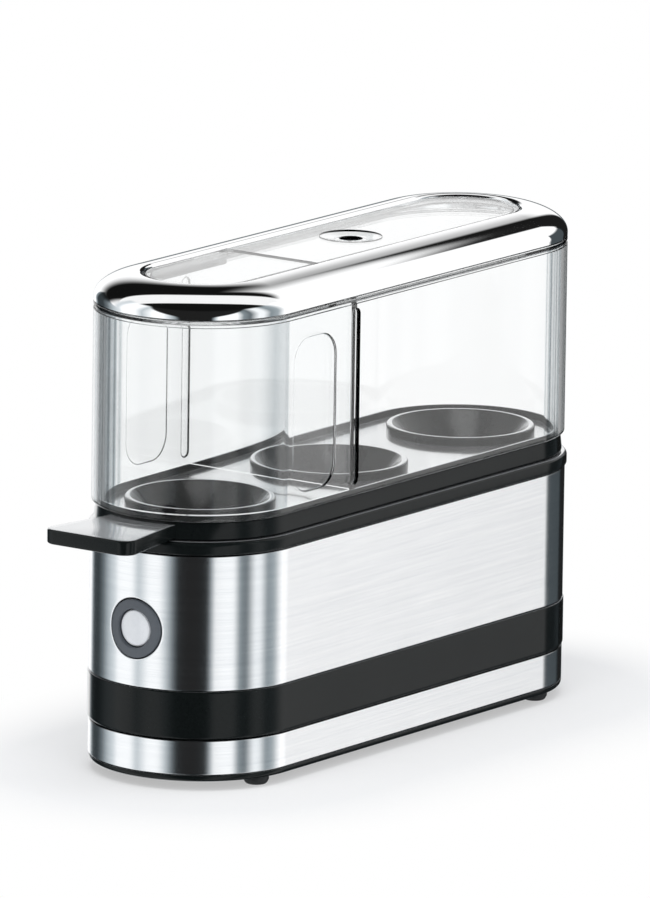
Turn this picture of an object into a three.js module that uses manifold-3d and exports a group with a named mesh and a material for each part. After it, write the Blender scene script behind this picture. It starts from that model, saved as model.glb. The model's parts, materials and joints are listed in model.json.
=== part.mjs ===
// Electric egg cooker for three eggs, standing on a table.
// Millimetres, +Z up. +X runs along the long side, away from the handle and the button.
// The machine is drawn about the middle of its oblong base and moved as one at the end,
// so that the finished part stands on Z = 0 with its origin under the middle of its box.
import * as THREE from 'three';
import { mergeVertices } from 'three/addons/utils/BufferGeometryUtils.js';
import Module from 'manifold-3d';

const wasm = await Module();
wasm.setup();

// Driving dimensions
const bodyWidth = 68;
const bodyLength = 206;
const seam = 0.3;            // gap between two pieces that are stacked or face each other
const fit = 0.3;             // side clearance of a piece inside another
const plasticWall = 1.8;
const steelWall = 0.8;
const overrun = 1;           // how far a cutter passes the face it cuts

// Heights of the storeys, from the table up
const footHeight = 3;
const plateFloor = 2;
const lowerRingHeight = 10.7;
const bandHeight = 15.1;
const sleeveHeight = 42.4;
const collarHeight = 4.2;
const trayRimHeight = 5.6;
const hoodSideHeight = 62.9;
const chromeHeight = 8.9;

// Counts of facets
const endFacets = 14;        // on each round end of the oblong pieces
const roundFacets = 20;      // on a round piece that shows
const wellFacets = 32;       // on the three egg seats
const smallFacets = 12;      // on screws, bosses and bores
const leadSides = 6;
const arcFacets = 3;         // on a quarter-round edge

const endRadius = bodyWidth / 2;
const halfRun = bodyLength / 2 - endRadius;   // from the middle to each end circle's centre
const nearFace = -halfRun - endRadius;        // the end with the button and the handle

const plateZ = footHeight;
const lowerRingZ = plateZ + plateFloor + seam;
const bandZ = lowerRingZ + lowerRingHeight + seam;
const sleeveZ = bandZ + bandHeight + seam;
const collarZ = sleeveZ + sleeveHeight + seam;
const trayZ = collarZ + collarHeight + seam;
const hoodZ = trayZ + trayRimHeight + seam;
const chromeZ = hoodZ + hoodSideHeight + seam;

const finish = (color, roughness, metalness, opacity = 1) =>
  new THREE.MeshStandardMaterial({ color, roughness, metalness, opacity, transparent: opacity < 1 });

const finishes = {
  brushedSteel: finish('#c9ccd0', 0.32, 1),
  chrome: finish('#e8eaec', 0.05, 1),
  blackPlastic: finish('#1d2124', 0.35, 0),
  greyPlastic: finish('#565b60', 0.45, 0),
  silverPlastic: finish('#cfd4d9', 0.35, 0.4),
  clearPlastic: finish('#eef4f5', 0.05, 0, 0.3),
  rubber: finish('#17191a', 0.85, 0),
  silicone: finish('#b9bcbd', 0.7, 0),
  panMetal: finish('#a9adb1', 0.3, 1),
  elementMetal: finish('#7d8084', 0.45, 1),
  screwSteel: finish('#9a9da1', 0.35, 1),
  board: finish('#1f6b3a', 0.5, 0),
  whitePlastic: finish('#e4e4df', 0.5, 0),
  leadRed: finish('#a8322c', 0.5, 0),
  leadBlue: finish('#2f5fa8', 0.5, 0),
  leadWhite: finish('#dcdcd6', 0.6, 0),
  lamp: finish('#e9eef2', 0.15, 0),
};

// Turning geometry into solids
function solidOf(geometry) {
  geometry.deleteAttribute('normal');
  geometry.deleteAttribute('uv');
  const welded = mergeVertices(geometry);
  const corners = welded.index.array;
  const triVerts = [];
  for (let i = 0; i < corners.length; i += 3) {
    const [a, b, c] = corners.slice(i, i + 3);
    if (a !== b && b !== c && c !== a) triVerts.push(a, b, c);
  }
  return new wasm.Manifold(new wasm.Mesh({
    numProp: 3,
    vertProperties: new Float32Array(welded.attributes.position.array),
    triVerts: new Uint32Array(triVerts),
  }));
}

function geometryOf(solid) {
  const mesh = solid.getMesh();
  const geometry = new THREE.BufferGeometry();
  geometry.setAttribute('position', new THREE.BufferAttribute(new Float32Array(mesh.vertProperties), 3));
  geometry.setIndex(new THREE.BufferAttribute(new Uint32Array(mesh.triVerts), 1));
  const flat = geometry.toNonIndexed();
  flat.computeVertexNormals();
  return flat;
}

const join = (...solids) => solids.reduce((whole, next) => whole.add(next));
const cut = (solid, ...cutters) => cutters.reduce((whole, next) => whole.subtract(next), solid);

// A closed outline of [radius, height] points, swept round an oblong whose end circles are
// centred run either side of the middle. With run 0 the outline is simply turned.
function swept(outline, run = halfRun, facets = endFacets) {
  let twiceArea = 0;
  outline.forEach(([r, z], i) => {
    const [nextR, nextZ] = outline[(i + 1) % outline.length];
    twiceArea += r * nextZ - nextR * z;
  });
  const loop = twiceArea < 0 ? [...outline].reverse() : outline;
  const rings = [];
  for (const side of [1, -1]) {
    for (let i = 0; i <= facets; i++) {
      const angle = Math.PI * (i / facets - side / 2);
      rings.push(loop.map(([r, z]) => [side * run + r * Math.cos(angle), r * Math.sin(angle), z]));
    }
  }
  const positions = [];
  rings.forEach((ring, i) => {
    const next = rings[(i + 1) % rings.length];
    loop.forEach(([r], j) => {
      const k = (j + 1) % loop.length;
      if (r === 0 && loop[k][0] === 0) return;
      positions.push(...ring[j], ...next[j], ...next[k], ...ring[j], ...next[k], ...ring[k]);
    });
  });
  const geometry = new THREE.BufferGeometry();
  geometry.setAttribute('position', new THREE.BufferAttribute(new Float32Array(positions), 3));
  return solidOf(geometry);
}

const turned = (outline, x, y, facets = roundFacets) =>
  swept(outline, 0, facets / 2).translate([x, y, 0]);

// Outline of a plain wall between two radii and two heights
const wall = (inner, outer, bottom, top) => [[inner, bottom], [outer, bottom], [outer, top], [inner, top]];

// Points of a quarter-round edge, from one angle to another in quarter turns
function quarter(centreR, centreZ, radius, fromQuarter, toQuarter) {
  const points = [];
  for (let i = 0; i <= arcFacets; i++) {
    const angle = (fromQuarter + (toQuarter - fromQuarter) * (i / arcFacets)) * Math.PI / 2;
    points.push([centreR + radius * Math.cos(angle), centreZ + radius * Math.sin(angle)]);
  }
  return points;
}

function block(x0, x1, y0, y1, z0, z1) {
  const geometry = new THREE.BoxGeometry(x1 - x0, y1 - y0, z1 - z0);
  return solidOf(geometry.translate((x0 + x1) / 2, (y0 + y1) / 2, (z0 + z1) / 2));
}

function upright(x, y, radius, z0, z1, facets = smallFacets) {
  const geometry = new THREE.CylinderGeometry(radius, radius, z1 - z0, facets);
  return solidOf(geometry.rotateX(Math.PI / 2).translate(x, y, (z0 + z1) / 2));
}

function lengthwise(x0, x1, y, z, radius, facets = smallFacets) {
  const geometry = new THREE.CylinderGeometry(radius, radius, x1 - x0, facets);
  return solidOf(geometry.rotateZ(Math.PI / 2).translate((x0 + x1) / 2, y, z));
}

function slab(shape, z0, z1, curveSegments = arcFacets) {
  const options = { depth: z1 - z0, bevelEnabled: false, curveSegments };
  return solidOf(new THREE.ExtrudeGeometry(shape, options).translate(0, 0, z0));
}

function disc(radius, sides) {
  const shape = new THREE.Shape();
  for (let i = 0; i < sides; i++) {
    const angle = 2 * Math.PI * i / sides;
    const point = [radius * Math.cos(angle), radius * Math.sin(angle)];
    if (i === 0) shape.moveTo(...point);
    else shape.lineTo(...point);
  }
  return shape.closePath();
}

function tube(path, radius, sides, steps) {
  return new THREE.ExtrudeGeometry(disc(radius, sides), { extrudePath: path, steps, bevelEnabled: false });
}

// A plate with rounded corners standing across Y, for the recesses in the hood's sides
function uprightPad(width, height, corner, y0, y1) {
  const shape = new THREE.Shape();
  const [w, h] = [width / 2, height / 2];
  shape.moveTo(w, corner - h);
  shape.absarc(w - corner, h - corner, corner, 0, Math.PI / 2);
  shape.absarc(corner - w, h - corner, corner, Math.PI / 2, Math.PI);
  shape.absarc(corner - w, corner - h, corner, Math.PI, Math.PI * 3 / 2);
  shape.absarc(w - corner, corner - h, corner, Math.PI * 3 / 2, Math.PI * 2);
  const options = { depth: y1 - y0, bevelEnabled: false, curveSegments: arcFacets };
  const geometry = new THREE.ExtrudeGeometry(shape, options);
  return solidOf(geometry.rotateX(Math.PI / 2).translate(0, y1, 0));
}

const machine = new THREE.Group();

function add(name, solid, material) {
  const geometry = solid instanceof THREE.BufferGeometry ? solid : geometryOf(solid);
  const mesh = new THREE.Mesh(geometry, material);
  mesh.name = name;
  machine.add(mesh);
  return mesh;
}

const fourCorners = (x, y) => [[-x, -y], [x, -y], [x, y], [-x, y]];

// Skins of the base: rings of sheet steel and one black band
const steelInner = endRadius - steelWall;
const housingOuter = steelInner - fit;
const housingInner = housingOuter - plasticWall;
const bandProud = 0.3;
const bandEdge = 1.2;        // rounding of the band's lower edge

// Cord inlet, in the middle of the band at the far end
const inlet = {
  z: bandZ + bandHeight / 2,
  neck: 5.2,
  bore: 3.2,
  flange: 6.8,
  flangeDepth: 1.5,
  nutRadius: 7.4,
  nutDepth: 3,
};
const inletFace = halfRun + endRadius + bandProud + seam + inlet.flangeDepth;

// Push button, in the round end under the handle
const button = {
  z: 49.9,
  bezelRadius: 9.2,
  bezelProud: 0.3,
  capRadius: 5.8,
  capSunk: 0.3,
  collarRadius: 7.6,
  throatDepth: 7,
  flangeRadius: 7,
  flangeDepth: 1.5,
  stemRadius: 1.8,
  stemLength: 6,
  travel: 1.2,
};
const buttonBore = button.collarRadius + fit;
const sleeveBore = button.bezelRadius + fit;

function makeSkins() {
  const ring = swept(wall(steelInner, endRadius, lowerRingZ, lowerRingZ + lowerRingHeight));
  add('lower_steel_ring', ring, finishes.brushedSteel);

  const bandOuter = endRadius + bandProud;
  const bandTop = bandZ + bandHeight;
  const bandOutline = [
    [steelInner, bandZ],
    ...quarter(bandOuter - bandEdge, bandZ + bandEdge, bandEdge, -1, 0),
    [bandOuter, bandTop],
    [steelInner, bandTop],
  ];
  const inletHole = lengthwise(halfRun, inletFace, 0, inlet.z, inlet.neck + fit);
  add('base_band', cut(swept(bandOutline), inletHole), finishes.blackPlastic);

  const sleeve = swept(wall(steelInner, endRadius, sleeveZ, sleeveZ + sleeveHeight));
  const buttonHole = lengthwise(nearFace - overrun, -halfRun, 0, button.z, sleeveBore, roundFacets);
  add('steel_sleeve', cut(sleeve, buttonHole), finishes.brushedSteel);
}

// Bottom plate with its feet, and the places of what it carries
const plate = {
  corner: 1.5,
  spigotHeight: 6.7,
  bossRadius: 4.5,
  bossHeight: 6,
  counterboreDepth: 3,
  ventWidth: 2.4,
  ventLength: 16,
  ventPitch: 10,
  ventCount: 5,
};
const spigotTop = lowerRingZ + plate.spigotHeight;
const chassisScrew = { beyondBoard: 12, inset: 11, shank: 1.5, head: 3.2, headHeight: 1.8, length: 22 };
const foot = { beyondCentre: 6, inset: 7, flat: 2.6, radius: 4, stem: 1.5 };
const board = { length: 80, width: 44, thickness: 1.6, standoff: 12, edge: 4 };
const boardScrew = { shank: 1.2, head: 2.4, headHeight: 1.5, bite: 8, postRadius: 3 };
const floorTop = plateZ + plateFloor;
const boardZ = floorTop + board.standoff;
const boardTop = boardZ + board.thickness;
const boardCorners = fourCorners(board.length / 2 - board.edge, board.width / 2 - board.edge);
const chassisX = board.length / 2 + chassisScrew.beyondBoard;
const chassisCorners = fourCorners(chassisX, endRadius - chassisScrew.inset);
const footCorners = fourCorners(halfRun + foot.beyondCentre, endRadius - foot.inset);
const bossTop = plateZ + plate.bossHeight;

function makeBottomPlate() {
  const outline = [
    [0, plateZ],
    ...quarter(endRadius - plate.corner, plateZ + plate.corner, plate.corner, -1, 0),
    [endRadius, floorTop],
    [housingOuter, floorTop],
    [housingOuter, spigotTop],
    [housingInner, spigotTop],
    [housingInner, floorTop],
    [0, floorTop],
  ];
  let solid = swept(outline);
  for (const [x, y] of chassisCorners) {
    solid = join(solid, upright(x, y, plate.bossRadius, plateZ, bossTop));
    solid = cut(
      solid,
      upright(x, y, chassisScrew.head + fit, plateZ - overrun, plateZ + plate.counterboreDepth),
      upright(x, y, chassisScrew.shank + fit, plateZ, bossTop + overrun),
    );
  }
  for (const [x, y] of boardCorners) {
    const postTop = boardZ - seam;
    solid = join(solid, upright(x, y, boardScrew.postRadius, plateZ + plateFloor / 2, postTop));
    solid = cut(solid, upright(x, y, boardScrew.shank + fit, postTop - boardScrew.bite, postTop + overrun));
  }
  for (const [x, y] of footCorners) {
    solid = cut(solid, upright(x, y, foot.stem + fit, plateZ - overrun, floorTop + overrun));
  }
  for (let i = 0; i < plate.ventCount; i++) {
    const x = (i - (plate.ventCount - 1) / 2) * plate.ventPitch;
    const [w, l] = [plate.ventWidth / 2, plate.ventLength / 2];
    solid = cut(solid, block(x - w, x + w, -l, l, plateZ - overrun, floorTop + overrun));
  }
  add('bottom_plate', solid, finishes.blackPlastic);
}

function makeFeet() {
  const top = plateZ - seam;
  const stemTop = floorTop - seam;
  const outline = [
    [0, 0],
    [foot.flat, 0],
    [foot.radius, top / 2],
    [foot.radius, top],
    [foot.stem, top],
    [foot.stem, stemTop],
    [0, stemTop],
  ];
  footCorners.forEach(([x, y], i) => {
    add(`foot_${i + 1}`, turned(outline, x, y, smallFacets), finishes.rubber);
  });
}

// A pan-head screw standing on end, its head's seat at seatZ, its shank going up from there
function screwUp(x, y, size, seatZ) {
  return join(
    upright(x, y, size.head, seatZ - size.headHeight, seatZ),
    upright(x, y, size.shank, seatZ - size.headHeight / 2, seatZ + size.length),
  );
}

function makeChassisScrews() {
  const seatZ = plateZ + plate.counterboreDepth - seam;
  chassisCorners.forEach(([x, y], i) => {
    add(`chassis_screw_${i + 1}`, screwUp(x, y, chassisScrew, seatZ), finishes.screwSteel);
  });
}

// Water pan with its flange, gasket and screws, and the levels under the collar
const collar = { proud: 0.6, inset: 7, skirt: 1.6, edge: 1.2 };
const collarBore = endRadius - collar.inset;
const collarPlateZ = collarZ + collar.skirt;
const collarTop = collarZ + collarHeight;
const gasketThickness = 2;
const pan = { inset: 2, slope: 4.2, thickness: 1.2, flange: 1, depth: 12.2, foot: 1.2 };
const panMouth = collarBore - pan.inset;
const panFloorRadius = panMouth - pan.slope;
const panScrew = { fromCentre: 34, shank: 1, head: 2, headHeight: 1.4, length: 7.7 };
const ledgeThickness = 1.8;
const gasketZ = collarPlateZ - seam - gasketThickness;
const flangeTop = gasketZ - seam;
const flangeZ = flangeTop - pan.flange;
const panFloorTop = flangeTop - pan.depth;
const panFloorZ = panFloorTop - pan.thickness;
const ledgeTop = flangeZ - seam;
const ledgeZ = ledgeTop - ledgeThickness;
const panWallOuter = panMouth + pan.flange;
const ledgeInner = panWallOuter + 2 * fit;
const flangeOuter = housingInner - fit;
const panScrewY = (ledgeInner + flangeOuter) / 2;
const panScrewPlaces = fourCorners(halfRun - panScrew.fromCentre, panScrewY);

// Heating element clamped under the pan, with the thermostat between its two runs
const element = { radius: 3, bend: 12, start: -44, end: 40, pin: 1.1, pinLength: 6, sides: 8, steps: 32 };
const elementZ = panFloorZ - seam - element.radius;
const clamp = { halfLength: 26, halfWidth: 15, thickness: 1.5 };
const clampTop = elementZ - element.radius - seam;
const clampZ = clampTop - clamp.thickness;
const stud = { x: 20, radius: 1.5, tip: 0.7 };
const nut = { radius: 3.4, height: 2.6 };
const nutTop = clampZ - seam;
const thermostat = { radius: 8, neck: 5, neckDrop: 2.2, tabLength: 4.5, tabWidth: 5, tab: 0.8, tabX: 3 };
const fuse = { radius: 2.2, x0: 27, x1: 39, wire: 0.5, wireLength: 3 };

const studFoot = nutTop - nut.height - stud.tip;
const panScrewHoles = (z0, z1) =>
  panScrewPlaces.map(([x, y]) => upright(x, y, panScrew.shank + fit, z0, z1));

function makePan() {
  const outline = [
    [0, panFloorZ],
    [panFloorRadius + pan.thickness / 2, panFloorZ],
    [panFloorRadius + pan.thickness + pan.foot, panFloorTop + pan.foot / 2],
    [panWallOuter, flangeZ],
    [flangeOuter, flangeZ],
    [flangeOuter, flangeTop],
    [panMouth, flangeTop],
    [panFloorRadius + pan.foot, panFloorTop + pan.foot],
    [panFloorRadius, panFloorTop],
    [0, panFloorTop],
  ];
  let solid = swept(outline);
  for (const side of [-1, 1]) {
    const x = side * stud.x;
    solid = join(solid, upright(x, 0, stud.radius, studFoot, panFloorZ + pan.thickness / 2));
  }
  solid = cut(solid, ...panScrewHoles(flangeZ - overrun, flangeTop + overrun));
  add('heating_pan', solid, finishes.panMetal);

  const gasket = swept(wall(collarBore, flangeOuter, gasketZ, gasketZ + gasketThickness));
  const gasketHoles = panScrewHoles(gasketZ - overrun, gasketZ + gasketThickness + overrun);
  add('pan_gasket', cut(gasket, ...gasketHoles), finishes.silicone);

  panScrewPlaces.forEach(([x, y], i) => {
    add(`pan_screw_${i + 1}`, screwUp(x, y, panScrew, ledgeZ - seam), finishes.screwSteel);
  });
}

function makeElement() {
  const point = (x, y) => new THREE.Vector3(x, y, elementZ);
  const path = new THREE.CurvePath();
  path.add(new THREE.LineCurve3(point(element.start, -element.bend), point(element.end, -element.bend)));
  const bendPoints = [];
  for (let i = 0; i <= arcFacets * 2; i++) {
    const angle = Math.PI * (i / (arcFacets * 2) - 1 / 2);
    bendPoints.push(point(
      element.end + element.bend * Math.cos(angle),
      element.bend * Math.sin(angle),
    ));
  }
  path.add(new THREE.CatmullRomCurve3(bendPoints));
  path.add(new THREE.LineCurve3(point(element.end, element.bend), point(element.start, element.bend)));
  const sheath = solidOf(tube(path, element.radius, element.sides, element.steps));
  const pins = [-1, 1].map((side) => lengthwise(
    element.start - element.pinLength, element.start + element.radius,
    side * element.bend, elementZ, element.pin, leadSides,
  ));
  add('heating_element', join(sheath, ...pins), finishes.elementMetal);

  const plateShape = block(
    -clamp.halfLength, clamp.halfLength, -clamp.halfWidth, clamp.halfWidth, clampZ, clampTop,
  );
  const [low, high] = [clampZ - overrun, clampTop + overrun];
  const clampPlate = cut(
    plateShape,
    upright(-stud.x, 0, stud.radius + fit, low, high),
    upright(stud.x, 0, stud.radius + fit, low, high),
    upright(0, 0, thermostat.neck + fit, low, high),
  );
  add('element_clamp', clampPlate, finishes.screwSteel);

  [-1, 1].forEach((side, i) => {
    const hex = upright(side * stud.x, 0, nut.radius, nutTop - nut.height, nutTop, leadSides);
    const bore = upright(side * stud.x, 0, stud.radius + fit, studFoot, nutTop + overrun);
    add(`clamp_nut_${i + 1}`, cut(hex, bore), finishes.screwSteel);
  });
}

function makeSensors() {
  const bodyZ = clampTop + seam;
  const neckZ = bodyZ - thermostat.neckDrop;
  const tabZ = neckZ - thermostat.tabLength;
  const tabs = [-1, 1].map((side) => block(
    side * thermostat.tabX - thermostat.tab / 2, side * thermostat.tabX + thermostat.tab / 2,
    -thermostat.tabWidth / 2, thermostat.tabWidth / 2, tabZ, neckZ + thermostat.tab,
  ));
  const puck = upright(0, 0, thermostat.radius, bodyZ, panFloorZ - seam, roundFacets);
  const neck = upright(0, 0, thermostat.neck, neckZ, bodyZ + overrun);
  add('thermostat', join(puck, neck, ...tabs), finishes.whitePlastic);

  const fuseZ = panFloorZ - seam - fuse.radius;
  const wires = lengthwise(
    fuse.x0 - fuse.wireLength, fuse.x1 + fuse.wireLength, 0, fuseZ, fuse.wire, leadSides,
  );
  const fuseBody = lengthwise(fuse.x0, fuse.x1, 0, fuseZ, fuse.radius);
  add('thermal_fuse', join(fuseBody, wires), finishes.elementMetal);
  return tabZ;
}

// Inner housing: the black tube that every other piece of the base is fixed to
const bulkhead = { inset: 15.5, thickness: 1.5, bottomGap: 2, topGap: 2, hole: 2.4 };
const switchBody = { depth: 12, half: 6.5, bore: 1.8, boreDepth: 6, shelf: 1.5 };
const housing = { bossRadius: 4.2, bossTop: 40, rib: 1.8 };
const bulkheadX = nearFace + bulkhead.inset;
const bulkheadBack = bulkheadX + bulkhead.thickness;
const switchFront = bulkheadBack + seam;
const switchBack = switchFront + switchBody.depth;
const housingTop = collarPlateZ - seam;

function makeHousing() {
  const tubeZ = spigotTop + seam;
  let solid = swept(wall(housingInner, housingOuter, tubeZ, housingTop));
  solid = join(solid, swept(wall(ledgeInner, housingInner + fit, ledgeZ, ledgeTop)));
  for (const [x, y] of chassisCorners) {
    const towardsWall = Math.sign(y) * (housingInner + fit);
    const rib = block(
      x - housing.rib / 2, x + housing.rib / 2,
      Math.min(y, towardsWall), Math.max(y, towardsWall), tubeZ, housing.bossTop,
    );
    solid = join(solid, upright(x, y, housing.bossRadius, bossTop + seam, housing.bossTop), rib);
    solid = cut(solid, upright(x, y, chassisScrew.shank + fit, bossTop, housing.bossTop - housing.rib));
  }
  const crossWall = block(
    bulkheadX, bulkheadBack, -endRadius, endRadius,
    spigotTop + bulkhead.bottomGap, panFloorZ - bulkhead.topGap,
  );
  const room = swept([
    [0, plateZ], [housingInner + fit, plateZ], [housingInner + fit, housingTop], [0, housingTop],
  ]);
  const shelfTop = button.z - switchBody.half - seam;
  const shelf = block(
    bulkheadBack - overrun / 2, switchBack, -switchBody.half, switchBody.half,
    shelfTop - switchBody.shelf, shelfTop,
  );
  solid = join(solid, crossWall.intersect(room), shelf);
  solid = cut(
    solid,
    lengthwise(nearFace, bulkheadX - overrun, 0, button.z, buttonBore, roundFacets),
    lengthwise(bulkheadX - overrun, bulkheadBack + overrun / 2, 0, button.z, bulkhead.hole),
    lengthwise(halfRun, inletFace, 0, inlet.z, inlet.neck + fit),
    ...panScrewHoles(ledgeZ - overrun, ledgeTop + overrun),
  );
  add('inner_housing', solid, finishes.blackPlastic);
}

function makeCollar() {
  const outer = endRadius + collar.proud;
  const outline = [
    [collarBore, collarPlateZ],
    [steelInner, collarPlateZ],
    [steelInner, collarZ],
    [outer, collarZ],
    ...quarter(outer - collar.edge, collarTop - collar.edge, collar.edge, 0, 1),
    [collarBore, collarTop],
  ];
  const screwTips = panScrewHoles(collarPlateZ - overrun, ledgeZ - seam + panScrew.length + seam);
  add('collar', cut(swept(outline), ...screwTips), finishes.blackPlastic);
}

// Push button, its bezel, spring and switch
const throatBack = nearFace + button.throatDepth;
const flangeFront = throatBack + seam;
const flangeBack = flangeFront + button.flangeDepth;
const stemTip = flangeBack + button.stemLength;
const spring = { radius: 3.4, wire: 0.4, turns: 4, steps: 8, sides: 5 };
const lampSize = { radius: 1.5, aside: 6.2, length: 3.6 };

const oblongSolid = (radius, z0, z1) => swept([[0, z0], [radius, z0], [radius, z1], [0, z1]]);

function makeButton() {
  const [low, high] = [button.z - 2 * button.bezelRadius, button.z + 2 * button.bezelRadius];
  const front = nearFace - button.bezelProud - overrun;
  const proud = oblongSolid(endRadius + button.bezelProud, low, high);
  const skin = cut(proud, oblongSolid(steelInner, low, high));
  const ring = lengthwise(front, -halfRun, 0, button.z, button.bezelRadius, roundFacets).intersect(skin);
  const throat = lengthwise(nearFace + steelWall, throatBack, 0, button.z, button.collarRadius, roundFacets)
    .intersect(oblongSolid(endRadius, low, high));
  const bore = lengthwise(front, throatBack + overrun, 0, button.z, button.capRadius + fit, roundFacets);
  add('button_bezel', cut(join(ring, throat), bore), finishes.greyPlastic);

  const cap = lengthwise(front, flangeBack, 0, button.z, button.capRadius, roundFacets)
    .intersect(oblongSolid(endRadius - button.capSunk, low, high));
  const flange = lengthwise(flangeFront, flangeBack, 0, button.z, button.flangeRadius, roundFacets);
  const stem = lengthwise(flangeBack - fit, stemTip, 0, button.z, button.stemRadius);
  add('button_cap', join(cap, flange, stem), finishes.silverPlastic);

  const plungerFront = stemTip + seam;
  const plungerBack = switchFront + switchBody.boreDepth - button.travel - seam;
  const plunger = lengthwise(plungerFront, plungerBack, 0, button.z, switchBody.bore - fit);
  add('switch_plunger', plunger, finishes.whitePlastic);

  const box = block(
    switchFront, switchBack, -switchBody.half, switchBody.half,
    button.z - switchBody.half, button.z + switchBody.half,
  );
  const plungerBore = lengthwise(
    switchFront - overrun, switchFront + switchBody.boreDepth, 0, button.z, switchBody.bore,
  );
  add('switch_body', cut(box, plungerBore), finishes.whitePlastic);
}

// The return spring, one unbroken wire from the cap's flange to the bulkhead
function makeSpring() {
  const from = flangeBack + seam + spring.wire;
  const to = bulkheadX - seam - spring.wire;
  const pitch = (to - from) / spring.turns;
  const points = [];
  for (let i = 0; i <= spring.turns * spring.steps; i++) {
    const angle = 2 * Math.PI * i / spring.steps;
    points.push(new THREE.Vector3(
      from + pitch * i / spring.steps,
      spring.radius * Math.cos(angle),
      button.z + spring.radius * Math.sin(angle),
    ));
  }
  const path = new THREE.CatmullRomCurve3(points);
  const steps = spring.turns * spring.steps;
  add('button_spring', solidOf(tube(path, spring.wire, spring.sides, steps)), finishes.screwSteel);
  console.log(`button spring: ${(pitch - 2 * spring.wire).toFixed(2)} mm between turns`);
}

// A small lamp beside the stem, which lights the cap from behind
function makeIndicator() {
  const back = bulkheadX - seam;
  const dome = lampSize.radius / 2;
  const body = lengthwise(back - lampSize.length, back, lampSize.aside, button.z, lampSize.radius);
  const tip = lengthwise(back - lampSize.length - dome, back, lampSize.aside, button.z, dome);
  add('indicator_led', join(body, tip), finishes.lamp);
}

// Electronics on the board, the terminal block and the cord inlet
const relay = { x: -12, y: 0, length: 20, width: 15, height: 15 };
const capacitor = { x: 14, y: -12, length: 18, width: 8, height: 13 };
const buzzer = { x: 16, y: 8, radius: 6, height: 8, mouth: 1.2 };
const terminal = { beyondCentre: 4, length: 22, width: 18, height: 12, pitch: 5.6, bore: 1.6, screw: 1.3 };
const terminalX = halfRun + terminal.beyondCentre;
const terminalTop = floorTop + seam + terminal.height;
const terminalWireZ = floorTop + seam + terminal.height / 2;

function makeElectronics() {
  const [l, w] = [board.length / 2, board.width / 2];
  const sheet = block(-l, l, -w, w, boardZ, boardTop);
  const holes = boardCorners.map(([x, y]) =>
    upright(x, y, boardScrew.shank + fit, boardZ - overrun, boardTop + overrun));
  add('control_board', cut(sheet, ...holes), finishes.board);

  const shankFoot = boardZ - seam - boardScrew.bite + seam;
  boardCorners.forEach(([x, y], i) => {
    const headZ = boardTop + seam;
    const screw = join(
      upright(x, y, boardScrew.head, headZ, headZ + boardScrew.headHeight),
      upright(x, y, boardScrew.shank, shankFoot, headZ + boardScrew.headHeight / 2),
    );
    add(`board_screw_${i + 1}`, screw, finishes.screwSteel);
  });

  const onBoard = (size) => block(
    size.x - size.length / 2, size.x + size.length / 2,
    size.y - size.width / 2, size.y + size.width / 2,
    boardTop + seam, boardTop + seam + size.height,
  );
  add('relay', onBoard(relay), finishes.leadBlue);
  add('capacitor', onBoard(capacitor), finishes.leadRed);

  const buzzerTop = boardTop + seam + buzzer.height;
  const shell = upright(buzzer.x, buzzer.y, buzzer.radius, boardTop + seam, buzzerTop, roundFacets);
  const mouth = upright(buzzer.x, buzzer.y, buzzer.mouth, buzzerTop - buzzer.mouth, buzzerTop + overrun);
  add('buzzer', cut(shell, mouth), finishes.blackPlastic);

  const half = terminal.length / 2;
  let blockSolid = block(
    terminalX - half, terminalX + half, -terminal.width / 2, terminal.width / 2,
    floorTop + seam, terminalTop,
  );
  for (const way of [-1, 0, 1]) {
    const y = way * terminal.pitch;
    const wireBore = lengthwise(
      terminalX - half - overrun, terminalX + half + overrun, y, terminalWireZ, terminal.bore,
    );
    const screwWell = upright(terminalX, y, terminal.screw, terminalWireZ, terminalTop + overrun);
    blockSolid = cut(blockSolid, wireBore, screwWell);
  }
  add('terminal_block', blockSolid, finishes.whitePlastic);
}

function makeInlet() {
  const chord = Math.sqrt(housingInner ** 2 - inlet.nutRadius ** 2);
  const nutOuter = halfRun + chord - seam;
  const nutInner = nutOuter - inlet.nutDepth;
  const bandSurface = endRadius + bandProud + seam;
  const neck = lengthwise(nutInner - seam, inletFace, 0, inlet.z, inlet.neck);
  const flange = cut(
    lengthwise(halfRun + endRadius / 2, inletFace, 0, inlet.z, inlet.flange, roundFacets),
    oblongSolid(bandSurface, inlet.z - 2 * inlet.flange, inlet.z + 2 * inlet.flange),
  );
  const bore = lengthwise(nutInner - overrun, inletFace + overrun, 0, inlet.z, inlet.bore);
  add('cord_gland', cut(join(neck, flange), bore), finishes.rubber);

  const hex = lengthwise(nutInner, nutOuter, 0, inlet.z, inlet.nutRadius, leadSides);
  const nutBore = lengthwise(nutInner - overrun, nutOuter + overrun, 0, inlet.z, inlet.neck + fit);
  add('gland_nut', cut(hex, nutBore), finishes.blackPlastic);
}

// Internal leads, each from terminal to terminal; the points are places on its run
const lead = { radius: 1, steps: 10 };
const onBoardZ = boardTop + seam + lead.radius;

function makeLead(name, points, material) {
  const path = new THREE.CatmullRomCurve3(points.map((place) => new THREE.Vector3(...place)));
  add(name, solidOf(tube(path, lead.radius, leadSides, lead.steps)), material);
}

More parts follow.
